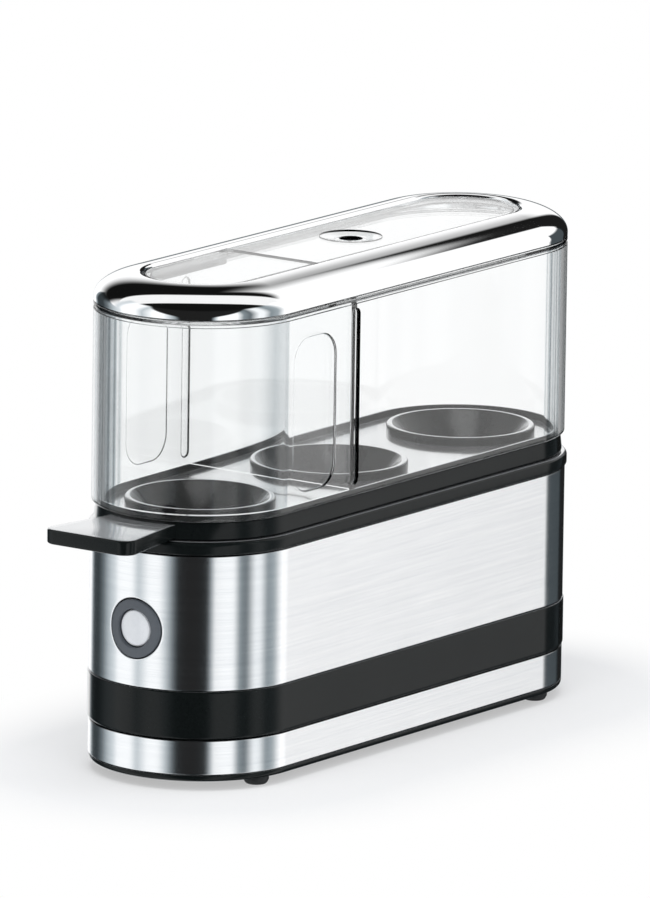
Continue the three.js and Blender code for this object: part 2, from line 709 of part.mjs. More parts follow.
function makeLeads(tabZ) {
  const boardEnd = board.length / 2;
  const rise = element.bend;
  const blockFace = terminalX - terminal.length / 2 - seam;
  const midGapX = (blockFace + boardEnd) / 2;
  makeLead('lead_supply', [
    [blockFace, terminal.pitch, terminalWireZ],
    [midGapX, terminal.pitch, (terminalWireZ + onBoardZ) / 2],
    [boardEnd - lead.radius, terminal.pitch, onBoardZ + lead.radius],
    [boardEnd - board.edge * 2, terminal.pitch, onBoardZ],
  ], finishes.leadBlue);

  const switchEnd = switchBack + seam;
  makeLead('lead_switch', [
    [-boardEnd + board.edge * 2, terminal.pitch, onBoardZ],
    [-boardEnd - board.edge, terminal.pitch, onBoardZ + lead.radius],
    [(switchEnd - boardEnd) / 2, terminal.pitch, (onBoardZ + button.z) / 2],
    [switchEnd + board.edge, 0, button.z],
    [switchEnd, 0, button.z],
  ], finishes.leadWhite);

  const tabTip = tabZ - seam;
  makeLead('lead_thermostat', [
    [boardEnd - board.edge * 2, rise, onBoardZ],
    [boardEnd - board.edge * 3, rise, (onBoardZ + tabTip) / 2],
    [thermostat.tabX + rise / 2, rise / 2, (onBoardZ + 3 * tabTip) / 4],
    [thermostat.tabX, 0, tabTip - lead.radius * 2],
    [thermostat.tabX, 0, tabTip],
  ], finishes.leadRed);

  const pinTip = element.start - element.pinLength - seam;
  makeLead('lead_element', [
    [-boardEnd + board.edge * 2, -rise, onBoardZ],
    [-boardEnd - board.edge, -rise, (onBoardZ * 2 + elementZ) / 3],
    [pinTip - rise / 2, -rise, (onBoardZ + elementZ * 2) / 3],
    [pinTip - rise / 3, -rise, elementZ - lead.radius],
    [pinTip, -rise, elementZ],
  ], finishes.leadRed);
}

// Lid: a clear hood, a chrome frame on top of it and a clear cup stored inside one end
const hood = {
  sunk: 0.3,               // the hood's side stands this much inside the base's
  wall: 1.8,
  neckInset: 1.9,          // step inwards under the chrome frame
  neckHeight: 1.9,
  shoulder: 4.6,
  beadDrop: 5.7,           // from the chrome frame down to the groove round the hood
  grooveDepth: 0.4,
  grooveHeight: 0.8,
};
const frame = { thickness: 1.5, edge: 6, crown: 0.6, windowInset: 14.9, lip: 0.8 };
const pane = { inset: 0.5, aside: 2.1, stepHeight: 1.9 };
const split = pane.aside - halfRun / 2;   // where the cup meets the hood, between two seats
const vent = { x: 9.2, radius: 3.6, dish: 8.2, dishDepth: 1 };
const grip = { aside: 19.6, width: 22.5, height: 50, bottom: 6, corner: 8, depth: 0.7 };
const rib = { width: 3.4, height: 56, bottom: 3.5, depth: 0.7 };
const hoodOuter = endRadius - hood.sunk;
const hoodInner = hoodOuter - hood.wall;
const hoodTop = chromeZ - seam;
const neckOuter = hoodOuter - hood.neckInset;
const shoulderR = neckOuter - hood.shoulder;
const shoulderZ = hoodTop + hood.neckHeight;
const topPlate = shoulderZ + hood.shoulder;
const chromeTop = chromeZ + chromeHeight;
const windowRadius = hoodOuter - frame.windowInset;
const plateauRadius = windowRadius - pane.inset;
const plateauTop = topPlate + pane.stepHeight;

// Outline of the space under a roof that follows the hood's shoulder, drawn in by inset
function roofOutline(bottom, sideRadius, inset, stepRadius, stepTop) {
  const neck = neckOuter - inset;
  const bend = hood.shoulder - inset;
  const slopeTop = hoodTop + hood.neckHeight - hood.wall;
  return [
    [0, bottom],
    [sideRadius, bottom],
    [sideRadius, slopeTop - (sideRadius - neck)],
    [neck, slopeTop],
    ...quarter(shoulderR, shoulderZ, bend, 0, 1),
    [stepRadius, topPlate - inset],
    [stepRadius, stepTop],
    [0, stepTop],
  ];
}

function sidePad(x, width, height, corner, depth, bottom, sides) {
  const z = hoodZ + bottom + height / 2;
  return sides.map((side) => {
    const surface = side * hoodOuter;
    const [y0, y1] = side > 0 ? [surface - depth, surface + overrun] : [surface - overrun, surface + depth];
    return uprightPad(width, height, corner, y0, y1).translate([x, 0, z]);
  });
}

function makeHood() {
  const grooveZ = chromeZ - hood.beadDrop;
  const outer = [
    [0, hoodZ],
    [hoodOuter, hoodZ],
    [hoodOuter, grooveZ - hood.grooveHeight],
    [hoodOuter - hood.grooveDepth, grooveZ - hood.grooveHeight],
    [hoodOuter - hood.grooveDepth, grooveZ],
    [hoodOuter, grooveZ],
    [hoodOuter, hoodTop],
    [neckOuter, hoodTop],
    ...quarter(shoulderR, shoulderZ, hood.shoulder, 0, 1),
    [plateauRadius, topPlate],
    [plateauRadius, plateauTop],
    [0, plateauTop],
  ];
  const hollow = roofOutline(hoodZ - overrun, hoodInner, hood.wall, plateauRadius, topPlate - hood.wall);
  const cupMouth = swept([
    [0, shoulderZ], [plateauRadius, shoulderZ], [plateauRadius, chromeTop], [0, chromeTop],
  ]).intersect(block(-bodyLength, split + fit / 2, -endRadius, endRadius, shoulderZ, chromeTop));
  const ventHole = upright(vent.x, 0, vent.radius, shoulderZ, chromeTop, roundFacets);
  const dishZ = plateauTop - vent.dishDepth;
  const dish = turned([
    [0, dishZ], [vent.dish - vent.dishDepth, dishZ], [vent.dish, plateauTop],
    [vent.dish, chromeTop], [0, chromeTop],
  ], vent.x, 0);
  const solid = cut(
    swept(outer),
    swept(hollow),
    cupMouth,
    ventHole,
    dish,
    ...sidePad(split - grip.aside, grip.width, grip.height, grip.corner, grip.depth, grip.bottom, [-1, 1]),
    ...sidePad(split, rib.width, rib.height, rib.width / 2, rib.depth, rib.bottom, [-1, 1]),
  );
  add('lid_hood', solid, finishes.clearPlastic);
}

function makeFrame() {
  const outer = hoodOuter;
  const side = outer - frame.edge;
  const edgeTop = chromeTop - frame.crown;
  const [inner, bend] = [outer - frame.thickness, frame.edge - frame.thickness];
  const outline = [
    [inner, chromeZ],
    [outer, chromeZ],
    ...quarter(side, edgeTop - frame.edge, frame.edge, 0, 1),
    [windowRadius + frame.lip * 2, chromeTop],
    [windowRadius + frame.lip / 4, chromeTop - frame.lip / 4],
    [windowRadius, chromeTop - frame.lip],
    [windowRadius, edgeTop - frame.thickness],
    ...quarter(side, edgeTop - frame.edge, bend, 1, 0),
  ];
  add('chrome_frame', swept(outline), finishes.chrome);
}

function makeCup() {
  const lipZ = hoodZ + tray.upstand;   // one seam above the tray's upstand, on which it rests
  const endFace = split - fit / 2;
  const plateau = plateauRadius - fit;
  const outer = roofOutline(lipZ, hoodInner - fit, hood.wall + fit, plateau, plateauTop);
  const inner = roofOutline(
    lipZ - overrun, hoodInner - fit - hood.wall, 2 * hood.wall + fit,
    plateau - hood.wall, plateauTop - hood.wall,
  );
  const half = (x) => block(-bodyLength, x, -endRadius, endRadius, hoodZ, chromeTop);
  const solid = cut(
    swept(outer).intersect(half(endFace)),
    swept(inner).intersect(half(endFace - hood.wall)),
  );
  add('measuring_cup', solid, finishes.clearPlastic);
}

// Egg tray: rim, deck and three open-bottomed seats, with the flat handle at one end
const tray = {
  rimFoot: 1,              // how far the rim's foot stands inside the base's side
  rimLean: 0.6,            // how much further in the rim's top stands
  upstand: 1.9,            // inner edge that centres the hood
  upstandWall: 1.2,
  deck: 2,
  deckSunk: 0.3,
  skirtWall: 1.6,
  skirtDrop: 9,
};
const well = { inset: 1.3, wall: 1.8, lift: 2.6, throat: 8.4, depth: 15.4 };
const handle = { reach: 26.1, tipHalf: 16.5, rootHalf: 12.8, thickness: 4.7, corner: 4.5 };
const handleTip = nearFace - handle.reach;

function handleShape() {
  const shape = new THREE.Shape();
  const rootX = -(halfRun + endRadius / 2);
  const corner = handle.corner;
  shape.moveTo(rootX, -handle.rootHalf);
  shape.lineTo(nearFace, -handle.rootHalf);
  shape.lineTo(handleTip + corner, -handle.tipHalf);
  shape.absarc(handleTip + corner, corner - handle.tipHalf, corner, -Math.PI / 2, -Math.PI, true);
  shape.absarc(handleTip + corner, handle.tipHalf - corner, corner, Math.PI, Math.PI / 2, true);
  shape.lineTo(nearFace, handle.rootHalf);
  shape.lineTo(rootX, handle.rootHalf);
  return shape;
}

function makeTray() {
  const rimTop = hoodZ - seam;
  const rimOuter = endRadius - tray.rimFoot;
  const upstandOuter = hoodInner - fit - tray.upstandWall / 4;
  const upstandInner = upstandOuter - tray.upstandWall;
  const deckTop = rimTop - tray.deckSunk;
  const deckZ = deckTop - tray.deck;
  const skirtOuter = collarBore - 2 * fit;
  const skirtInner = skirtOuter - tray.skirtWall;
  const wellOuter = skirtInner - well.inset;
  const wellMouth = wellOuter - well.wall;
  const outline = [
    [0, deckZ],
    [skirtInner, deckZ],
    [skirtInner, deckTop - tray.skirtDrop],
    [skirtOuter, deckTop - tray.skirtDrop],
    [skirtOuter, deckZ],
    [upstandInner, deckZ],
    [upstandInner, trayZ],
    [rimOuter, trayZ],
    [rimOuter - tray.rimLean, rimTop],
    [upstandOuter, rimTop],
    [upstandOuter, rimTop + tray.upstand],
    [upstandInner, rimTop + tray.upstand],
    [upstandInner, deckTop],
    [0, deckTop],
  ];
  let solid = swept(outline);
  const wellTop = deckTop + well.lift;
  const wellFoot = wellTop - well.depth;
  for (const place of [-1, 0, 1]) {
    const x = place * halfRun;
    const cone = [
      [0, wellFoot], [well.throat + well.wall, wellFoot], [wellOuter, deckZ],
      [wellOuter, wellTop], [0, wellTop],
    ];
    solid = join(solid, turned(cone, x, 0, wellFacets));
  }
  for (const place of [-1, 0, 1]) {
    const x = place * halfRun;
    const hollow = [
      [0, wellFoot - overrun], [well.throat, wellFoot - overrun], [well.throat, wellFoot],
      [wellMouth, wellTop], [wellMouth, wellTop + overrun], [0, wellTop + overrun],
    ];
    solid = cut(solid, turned(hollow, x, 0, wellFacets));
  }
  const handleSlab = slab(handleShape(), trayZ, trayZ + handle.thickness);
  const insideRim = oblongSolid(upstandInner + fit, trayZ - overrun, trayZ + handle.thickness + overrun);
  add('egg_tray', join(solid, cut(handleSlab, insideRim)), finishes.blackPlastic);
}

makeBottomPlate();
makeFeet();
makeChassisScrews();
makeSkins();
makeHousing();
makeCollar();
makePan();
makeElement();
const thermostatTabZ = makeSensors();
makeElectronics();
makeInlet();
makeButton();
makeSpring();
makeIndicator();
makeLeads(thermostatTabZ);
makeTray();
makeHood();
makeFrame();
makeCup();

// The part's origin lies under the middle of its box, which the handle makes longer
machine.position.x = -(handleTip + inletFace) / 2;

const eggCooker = new THREE.Group();
eggCooker.add(machine);

export default eggCooker;
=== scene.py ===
# %% [markdown]
# # A slim electric egg cooker
# The imported CAD model is the frame: it says where every piece of the cooker lies, in metres,
# with the long side along X and the table at Z = 0. This lesson dresses that frame. It starts
# by loading it, and it keeps the box of the CAD model.

# %% Load the frame
import json
import math

import bmesh
import bpy
from mathutils import Matrix, Vector


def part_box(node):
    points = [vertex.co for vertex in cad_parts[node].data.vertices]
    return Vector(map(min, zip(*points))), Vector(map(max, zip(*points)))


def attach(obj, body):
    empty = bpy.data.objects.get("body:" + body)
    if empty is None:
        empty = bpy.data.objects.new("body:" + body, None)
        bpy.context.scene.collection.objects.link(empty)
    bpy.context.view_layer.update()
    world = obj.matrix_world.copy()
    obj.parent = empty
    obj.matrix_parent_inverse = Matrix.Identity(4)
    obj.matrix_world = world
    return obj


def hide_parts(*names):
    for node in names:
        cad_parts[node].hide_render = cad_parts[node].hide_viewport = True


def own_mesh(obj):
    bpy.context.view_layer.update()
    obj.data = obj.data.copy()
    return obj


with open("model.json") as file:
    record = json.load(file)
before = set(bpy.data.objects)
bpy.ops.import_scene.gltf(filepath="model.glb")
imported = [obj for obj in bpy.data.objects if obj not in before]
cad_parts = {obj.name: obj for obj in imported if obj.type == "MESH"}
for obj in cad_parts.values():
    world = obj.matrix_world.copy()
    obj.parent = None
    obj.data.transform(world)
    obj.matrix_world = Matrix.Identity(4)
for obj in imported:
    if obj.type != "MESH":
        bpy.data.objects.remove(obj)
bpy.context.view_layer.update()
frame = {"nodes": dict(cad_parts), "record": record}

# %% [markdown]
# ## Sizes
# The cooker is oblong in plan: two half circles joined by straight sides, like a running
# track. Three numbers say all of that: the radius of an end, the distance from the middle to
# each end's centre, and where the middle is. They are read from the steel sleeve's box, so the
# dressed pieces stay where the CAD pieces are.

# %% Sizes read from the frame
MM = 0.001
seam = 0.3 * MM   # the gap that the CAD leaves between pieces that rest on or in each other
sleeve_low, sleeve_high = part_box("steel_sleeve")
end_radius = sleeve_high.y
middle = (sleeve_low.x + sleeve_high.x) / 2
half_run = sleeve_high.x - middle - end_radius
near_face = sleeve_low.x


def levels(node):
    low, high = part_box(node)
    return low.z, high.z


def reach(node):
    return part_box(node)[1].y


def centre_of(node):
    low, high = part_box(node)
    return (low + high) / 2


print(f"ends {end_radius / MM:.1f} mm round, half run {half_run / MM:.1f} mm, middle {middle / MM:.1f} mm")

# %% [markdown]
# ## Building node trees
# Geometry Nodes and shader nodes are built in the same way: make a node, set its options, and
# feed each input with a number or with another node's output. This small class does that, so
# that each tree below reads as a list of steps.


# %% A helper for node trees
class Tree:
    def __init__(self, tree):
        self.tree = tree

    def feed(self, socket, value):
        if isinstance(value, bpy.types.NodeSocket):
            self.tree.links.new(value, socket)
        elif value is not None:
            socket.default_value = value

    def node(self, kind, inputs=None, **options):
        made = self.tree.nodes.new(kind)
        for name, value in options.items():
            setattr(made, name, value)
        for key, value in (inputs or {}).items():
            self.feed(made.inputs[key], value)
        return made

    def math(self, operation, *values):
        return self.node("ShaderNodeMath", dict(enumerate(values)), operation=operation).outputs[0]

    def plus(self, first, second):
        return self.math("ADD", first, second)

    def minus(self, first, second):
        return self.math("SUBTRACT", first, second)

    def times(self, first, second):
        return self.math("MULTIPLY", first, second)

    def vector(self, x, y, z):
        return self.node("ShaderNodeCombineXYZ", {0: x, 1: y, 2: z}).outputs[0]


# %% New trees, with named inputs and outputs
def sockets(tree, inputs, outputs):
    for way, names in (("INPUT", inputs), ("OUTPUT", outputs)):
        for name, kind in names:
            tree.interface.new_socket(name, in_out=way, socket_type="NodeSocket" + kind)
    made = Tree(tree)
    return made, made.node("NodeGroupInput").outputs, made.node("NodeGroupOutput").inputs


def geometry_tree(name, *inputs):
    tree = bpy.data.node_groups.new(name, "GeometryNodeTree")
    named = [("Geometry", "Geometry"), *inputs, ("Material", "Material")]
    return sockets(tree, named, [("Geometry", "Geometry")])


def closed_tree(t, given, result, geometry):
    """Ends a geometry tree: what it made becomes one real mesh with the material it was given."""
    whole = t.node("GeometryNodeRealizeInstances", {"Geometry": geometry}).outputs[0]
    painted = t.node("GeometryNodeSetMaterial", {"Geometry": whole, "Material": given["Material"]})
    t.feed(result["Geometry"], painted.outputs[0])
    return t.tree


# %% [markdown]
# A tree is used as a modifier. Its inputs are set by the socket's identifier, not by its name,
# and before the object is first evaluated. The result is then turned into a plain mesh, so
# that no modifier is left on the piece.


# %% Run a tree, and turn modifiers into plain meshes
def plain(obj):
    depsgraph = bpy.context.evaluated_depsgraph_get()
    mesh = bpy.data.meshes.new_from_object(obj.evaluated_get(depsgraph), depsgraph=depsgraph)
    obj.modifiers.clear()
    old = obj.data
    obj.data = mesh
    bpy.data.meshes.remove(old)
    mesh.name = obj.name
    return obj


def new_object(name, vertices=(), faces=()):
    mesh = bpy.data.meshes.new(name)
    mesh.from_pydata([tuple(v) for v in vertices], [], [tuple(f) for f in faces])
    obj = bpy.data.objects.new(name, mesh)
    bpy.context.scene.collection.objects.link(obj)
    return obj


def run(tree, obj, **values):
    modifier = obj.modifiers.new("Rule", "NODES")
    modifier.node_group = tree
    for item in tree.interface.items_tree:
        key = item.name.replace(" ", "_").lower()
        if item.in_out == "INPUT" and key in values:
            modifier[item.identifier] = values[key]
    return plain(obj)


def smooth(obj, angle=35):
    build = bmesh.new()
    build.from_mesh(obj.data)
    bmesh.ops.remove_doubles(build, verts=build.verts, dist=MM / 500)
    bmesh.ops.dissolve_degenerate(build, edges=build.edges, dist=MM / 1000)
    pinholes = [e for e in build.edges if e.is_boundary]   # a cut can leave a few
    bmesh.ops.holes_fill(build, edges=pinholes, sides=8)
    loose = [e for e in build.edges if not e.link_faces]
    bmesh.ops.delete(build, geom=loose, context="EDGES")
    bmesh.ops.recalc_face_normals(build, faces=build.faces)
    build.to_mesh(obj.data)
    build.free()
    obj.data.polygons.foreach_set("use_smooth", [True] * len(obj.data.polygons))
    obj.data.set_sharp_from_angle(angle=math.radians(angle))
    return obj


# %% [markdown]
# ## The oblong lathe
# Nearly every shell of the cooker is one outline carried round the same track. A lathe does
# this for round things, and Screw or Spin could do it here in two halves. A rule is shorter:
# a grid of vertices has one column for each point of the outline and one row for each step
# round the track, and each row is turned by its angle and moved to its end of the track.
# With the half run at 0 the same tree is a plain lathe.


# %% The lathe as a Geometry Nodes tree
def oblong_lathe():
    t, given, result = geometry_tree(
        "Oblong Lathe", ("Half Run", "Float"), ("Middle", "Float"), ("Steps per End", "Int"),
    )
    outline = given["Geometry"]
    count = t.node("GeometryNodeAttributeDomainSize", {"Geometry": outline}).outputs["Point Count"]
    steps = given["Steps per End"]
    rows = t.times(t.plus(steps, 1), 2)
    grid = t.node("GeometryNodeMeshGrid", {"Vertices X": t.plus(rows, 1), "Vertices Y": count})
    index = t.node("GeometryNodeInputIndex").outputs[0]
    row = t.math("MODULO", t.math("FLOOR", t.math("DIVIDE", index, count)), rows)
    near = t.math("GREATER_THAN", row, t.plus(steps, 0.5))
    turn = t.math("DIVIDE", t.minus(row, near), steps)
    angle = t.times(t.minus(turn, 0.5), math.pi)
    position = t.node("GeometryNodeInputPosition").outputs[0]
    wanted = {"Geometry": outline, "Value": position, "Index": t.math("MODULO", index, count)}
    point = t.node("GeometryNodeSampleIndex", wanted, data_type="FLOAT_VECTOR")
    place = t.node("ShaderNodeSeparateXYZ", {0: point.outputs["Value"]}).outputs
    side = t.minus(1, t.times(near, 2))
    centre = t.plus(given["Middle"], t.times(side, given["Half Run"]))
    x = t.plus(centre, t.times(place["X"], t.math("COSINE", angle)))
    y = t.times(place["X"], t.math("SINE", angle))
    target = {"Geometry": grid.outputs["Mesh"], "Position": t.vector(x, y, place["Z"])}
    shaped = t.node("GeometryNodeSetPosition", target)
    merged = t.node("GeometryNodeMergeByDistance", {"Geometry": shaped.outputs[0], "Distance": MM / 500})
    return closed_tree(t, given, result, merged.outputs[0])


lathe_tree = oblong_lathe()
print("nodes in the lathe tree:", len(lathe_tree.nodes))

# %% [markdown]
# An outline is a list of corners, each with its distance from the axis, its height and, where
# the edge is rounded, the radius of that rounding. Moulded and pressed edges are never sharp,
# and it is the small rounding that catches the light. An outline that starts on the axis also
# ends there and makes a solid body, and any other is closed and makes a ring.


# %% Outlines with rounded corners
def rounded(corners, steps=5):
    points = []
    for i, (r, z, *rounding) in enumerate(corners):
        here = Vector((r, z))
        if not rounding:
            points.append(here)
            continue
        radius = rounding[0]
        before = (Vector(corners[i - 1][:2]) - here).normalized()
        after = (Vector(corners[(i + 1) % len(corners)][:2]) - here).normalized()
        half = before.angle(after) / 2
        centre = here + (before + after).normalized() * radius / math.sin(half)
        first = here + before * radius / math.tan(half) - centre
        last = here + after * radius / math.tan(half) - centre
        start = math.atan2(first.y, first.x)
        sweep = (math.atan2(last.y, last.x) - start + math.pi) % math.tau - math.pi
        for k in range(steps + 1):
            angle = start + sweep * k / steps
            points.append(centre + radius * Vector((math.cos(angle), math.sin(angle))))
    return points


def rod(radius, low, high):
    """Outline of a solid rod or, where it is carried round the track, of a solid block."""
    return [(0, low), (radius, low), (radius, high), (0, high)]


# %% Carry an outline round the track, or turn it
def carried(name, outline, run_length=None, centre=None, steps=64):
    on_axis = outline[0][0] == 0   # such an outline is closed by the axis itself
    points = [(p[0], 0, p[1]) for p in (outline if on_axis else [*outline, outline[0]])]
    obj = new_object(name, points)
    run(
        lathe_tree, obj,
        half_run=half_run if run_length is None else run_length,
        middle=middle if centre is None else centre,
        steps_per_end=steps,
    )
    return smooth(obj)


def turned(name, outline, steps=40):
    return carried(name, outline, run_length=0, centre=0, steps=steps)


def moved(obj, x):
    obj.data.transform(Matrix.Translation((x, 0, 0)))
    return obj


# %% [markdown]
# Holes and joins are made with the Boolean modifier. Its exact solver copes with faces that
# lie close together. The cutter is deleted once the cut is a plain mesh.


# %% Cut, join and cut off
def combined(obj, operation, tools):
    for tool in tools:
        modifier = obj.modifiers.new("Combine", "BOOLEAN")
        modifier.operation = operation
        modifier.solver = "EXACT"
        modifier.object = tool
        plain(obj)
        bpy.data.objects.remove(tool)
    return obj


def cut(obj, *tools):
    return combined(obj, "DIFFERENCE", tools)


def joined(obj, *tools):
    return combined(obj, "UNION", tools)


def kept_side(obj, x):
    """Cuts the piece off at a plane across X, keeps what lies on the near side and closes it."""
    build = bmesh.new()
    build.from_mesh(obj.data)
    everything = build.verts[:] + build.edges[:] + build.faces[:]
    made = bmesh.ops.bisect_plane(
        build, geom=everything, plane_co=(x, 0, 0), plane_no=(1, 0, 0), clear_outer=True,
    )
    edges = [item for item in made["geom_cut"] if isinstance(item, bmesh.types.BMEdge)]
    bmesh.ops.holes_fill(build, edges=edges, sides=0)
    bmesh.ops.recalc_face_normals(build, faces=build.faces)
    build.to_mesh(obj.data)
    build.free()
    return obj


# %% [markdown]
# ## Surface effects
# A real finish is never one even colour. Three effects are used by more than one material, so
# each is a node group, built once, with named inputs: the lines that brushing leaves in
# steel, the fine grain of a moulded surface, and the uneven gloss of something that has been
# handled. They read Object coordinates, in metres, so a pattern stays with its piece. A group
# puts out only a height or a value, and the shader itself stays in the material.


# %% Node groups shared by the materials
def effect(name, *inputs, outputs):
    tree = bpy.data.node_groups.new(name, "ShaderNodeTree")
    return sockets(tree, inputs, outputs)


def noise(t, vector, scale, detail=3.0, roughness=0.55):
    inputs = {"Vector": vector, "Scale": scale, "Detail": detail, "Roughness": roughness}
    return t.node("ShaderNodeTexNoise", inputs).outputs[0]


def object_space(t):
    return t.node("ShaderNodeTexCoord").outputs["Object"]


def stretched(t, x, y, z):
    inputs = {0: object_space(t), 1: t.vector(x, y, z)}
    return t.node("ShaderNodeVectorMath", inputs, operation="MULTIPLY").outputs[0]


def brushed_lines():
    t, given, result = effect(
        "Brushed Lines", ("Fineness", "Float"), ("Along", "Float"),
        outputs=[("Height", "Float"), ("Tone", "Float")],
    )
    along, fineness = given["Along"], given["Fineness"]
    lines = noise(t, stretched(t, along, along, fineness), 1.0, 4.0, 0.7)
    broad = noise(t, stretched(t, along, along, t.times(fineness, 0.2)), 1.0)
    t.feed(result["Height"], lines)
    t.feed(result["Tone"], t.plus(t.times(lines, 0.65), t.times(broad, 0.35)))
    return t.tree


# %% Grain and gloss
def moulded_grain():
    t, given, result = effect("Moulded Grain", ("Scale", "Float"), outputs=[("Height", "Float")])
    fine = noise(t, object_space(t), given["Scale"], 2.0)
    coarse = noise(t, object_space(t), t.times(given["Scale"], 0.15), 1.0)
    t.feed(result["Height"], t.plus(fine, t.times(coarse, 0.5)))
    return t.tree


def handled_gloss():
    t, given, result = effect(
        "Handled Gloss", ("Roughness", "Float"), ("Spread", "Float"), outputs=[("Roughness", "Float")],
    )
    smears = noise(t, object_space(t), 45.0, 3.0)
    specks = noise(t, object_space(t), 900.0, 2.0)
    mixed = t.plus(t.times(smears, 0.7), t.times(specks, 0.3))
    change = t.times(t.minus(mixed, 0.5), given["Spread"])
    t.feed(result["Roughness"], t.math("MAXIMUM", t.plus(given["Roughness"], change), 0.01))
    return t.tree


effects = {"lines": brushed_lines(), "grain": moulded_grain(), "gloss": handled_gloss()}
print("shared effects:", ", ".join(group.name for group in effects.values()))

# %% [markdown]
# A material places those groups with its own values. Numbers that are the same all over the
# surface, such as how metallic it is, are set on the shader's own sockets. The tone varies
# between two colours that lie close together.


# %% A helper for materials
def use(t, name, **values):
    group = t.node("ShaderNodeGroup", node_tree=effects[name])
    for key, value in values.items():
        t.feed(group.inputs[key], value)
    return group.outputs


def between(t, factor, first, second, **options):
    """A colour between two others, each given as a socket, a colour or a grey."""
    mix = t.node("ShaderNodeMix", {"Factor": factor}, data_type="RGBA", **options)
    for name, colour in (("A", first), ("B", second)):
        if isinstance(colour, (int, float)):
            colour = (colour, colour, colour)
        socket = next(s for s in mix.inputs if s.name == name and s.type == "RGBA")
        t.feed(socket, (*colour, 1) if isinstance(colour, tuple) else colour)
    return next(s for s in mix.outputs if s.type == "RGBA")


def spread(t, value, low, high):
    return t.node("ShaderNodeMapRange", {"Value": value, "From Min": low, "From Max": high}).outputs[0]


def eased(t, value, low, high):
    inputs = {"Value": value, "From Min": low, "From Max": high}
    return t.node("ShaderNodeMapRange", inputs, interpolation_type="SMOOTHSTEP").outputs[0]


def bumped(t, height, strength, distance):
    inputs = {"Height": height, "Strength": strength, "Distance": distance}
    return t.node("ShaderNodeBump", inputs).outputs[0]


# %% Ramps, the lie of a surface, and new materials
slate = (-0.24, -0.06, 0.04)   # what the darkest grey gains in red, green and blue


def ramp(t, value, stops):
    """Greys at their places. The darker a grey is, the more it turns to slate."""
    made = t.node("ShaderNodeValToRGB", {"Fac": value})
    elements = made.color_ramp.elements
    while len(elements) > 1:
        elements.remove(elements[-1])
    for k, (place, grey) in enumerate(stops):
        element = elements[0] if k == 0 else elements.new(place)
        element.position = place
        element.color = (*(grey * (1 + gain * (1 - grey)) for gain in slate), 1)
    return made.outputs["Color"]


def seen_along(t):
    """0 where a surface is seen straight on, nearly 1 where it is seen along itself."""
    return t.node("ShaderNodeLayerWeight", {"Blend": 0.5}).outputs["Facing"]


def facing_up(t):
    """1 on a level top, 0 on an upright wall, -1 underneath."""
    normal = t.node("ShaderNodeTexCoord").outputs["Normal"]
    return t.node("ShaderNodeSeparateXYZ", {0: normal}).outputs["Z"]


def new_material(name, **constants):
    material = bpy.data.materials.new(name)
    material.use_nodes = True
    shader = material.node_tree.nodes["Principled BSDF"]
    for key, value in constants.items():
        shader.inputs[key.replace("_", " ")].default_value = value
    return material, Tree(material.node_tree), shader


def fill(t, shader, **values):
    for key, value in values.items():
        t.feed(shader.inputs[key.replace("_", " ")], value)


# %% [markdown]
# Brushed steel gets its look from fine lines that run along the body. They spread a
# reflection up and down, so a lamp becomes a tall streak. Two things make that here: an
# anisotropic gloss whose tangent runs round the body, and the lines themselves as a bump.


# %% Metals
def brushed_metal(name, light, dark, fineness, roughness, stretch, bump):
    material, t, shader = new_material(name, Metallic=1.0, Anisotropic=stretch, Anisotropic_Rotation=0.25)
    lines = use(t, "lines", Fineness=fineness, Along=22.0)
    gloss = use(t, "gloss", Roughness=roughness, Spread=0.06)["Roughness"]
    fill(
        t, shader,
        Base_Color=between(t, spread(t, lines["Tone"], 0.3, 0.7), dark, light),
        Roughness=t.plus(gloss, t.times(lines["Height"], 0.06)),
        Normal=bumped(t, lines["Height"], bump, MM * 0.05),
        Tangent=t.node("ShaderNodeTangent", direction_type="RADIAL", axis="Z").outputs[0],
    )
    return material


def plain_metal(name, light, dark, roughness, grain=2500.0, bump=0.05):
    material, t, shader = new_material(name, Metallic=1.0)
    height = use(t, "grain", Scale=grain)["Height"]
    fill(
        t, shader,
        Base_Color=between(t, spread(t, height, 0.5, 1.0), dark, light),
        Roughness=use(t, "gloss", Roughness=roughness, Spread=roughness / 2)["Roughness"],
        Normal=bumped(t, height, bump, MM * 0.03),
    )
    return material


finishes = {
    "brushed_steel": brushed_metal(
        "Brushed Steel", (0.975, 0.98, 0.985), (0.82, 0.833, 0.853), 2800.0,
        roughness=0.17, stretch=0.9, bump=0.12,
    ),
    "chrome": plain_metal("Chrome", (0.97, 0.975, 0.98), (0.95, 0.955, 0.962), 0.022, 1200.0, 0.008),
    "pan_aluminium": plain_metal("Pan Aluminium", (0.78, 0.79, 0.8), (0.66, 0.67, 0.69), 0.22),
    "element_steel": plain_metal("Element Steel", (0.42, 0.42, 0.43), (0.3, 0.3, 0.32), 0.42),
    "screw_steel": plain_metal("Screw Steel", (0.66, 0.66, 0.67), (0.5, 0.5, 0.52), 0.28),
}

# %% [markdown]
# The plastics get a fine moulded grain. The black one is a polished moulding. Straight on it
# is black, and it shines where it is seen along its surface. On level faces, such as the handle
# and the deck, a painted sheen makes it nearly a mirror: the colour is lightened and made
# metallic there, so that shine is partly rendered reflection and partly painted.


# %% Plastics, rubber and glass-like pieces
def plastic(name, light, dark, roughness, grain=6000.0, bump=0.06, **constants):
    material, t, shader = new_material(name, **constants)
    height = use(t, "grain", Scale=grain)["Height"]
    fill(
        t, shader,
        Base_Color=between(t, spread(t, height, 0.5, 1.0), dark, light),
        Roughness=use(t, "gloss", Roughness=roughness, Spread=roughness * 0.6)["Roughness"],
        Normal=bumped(t, height, bump, MM * 0.04),
    )
    return material


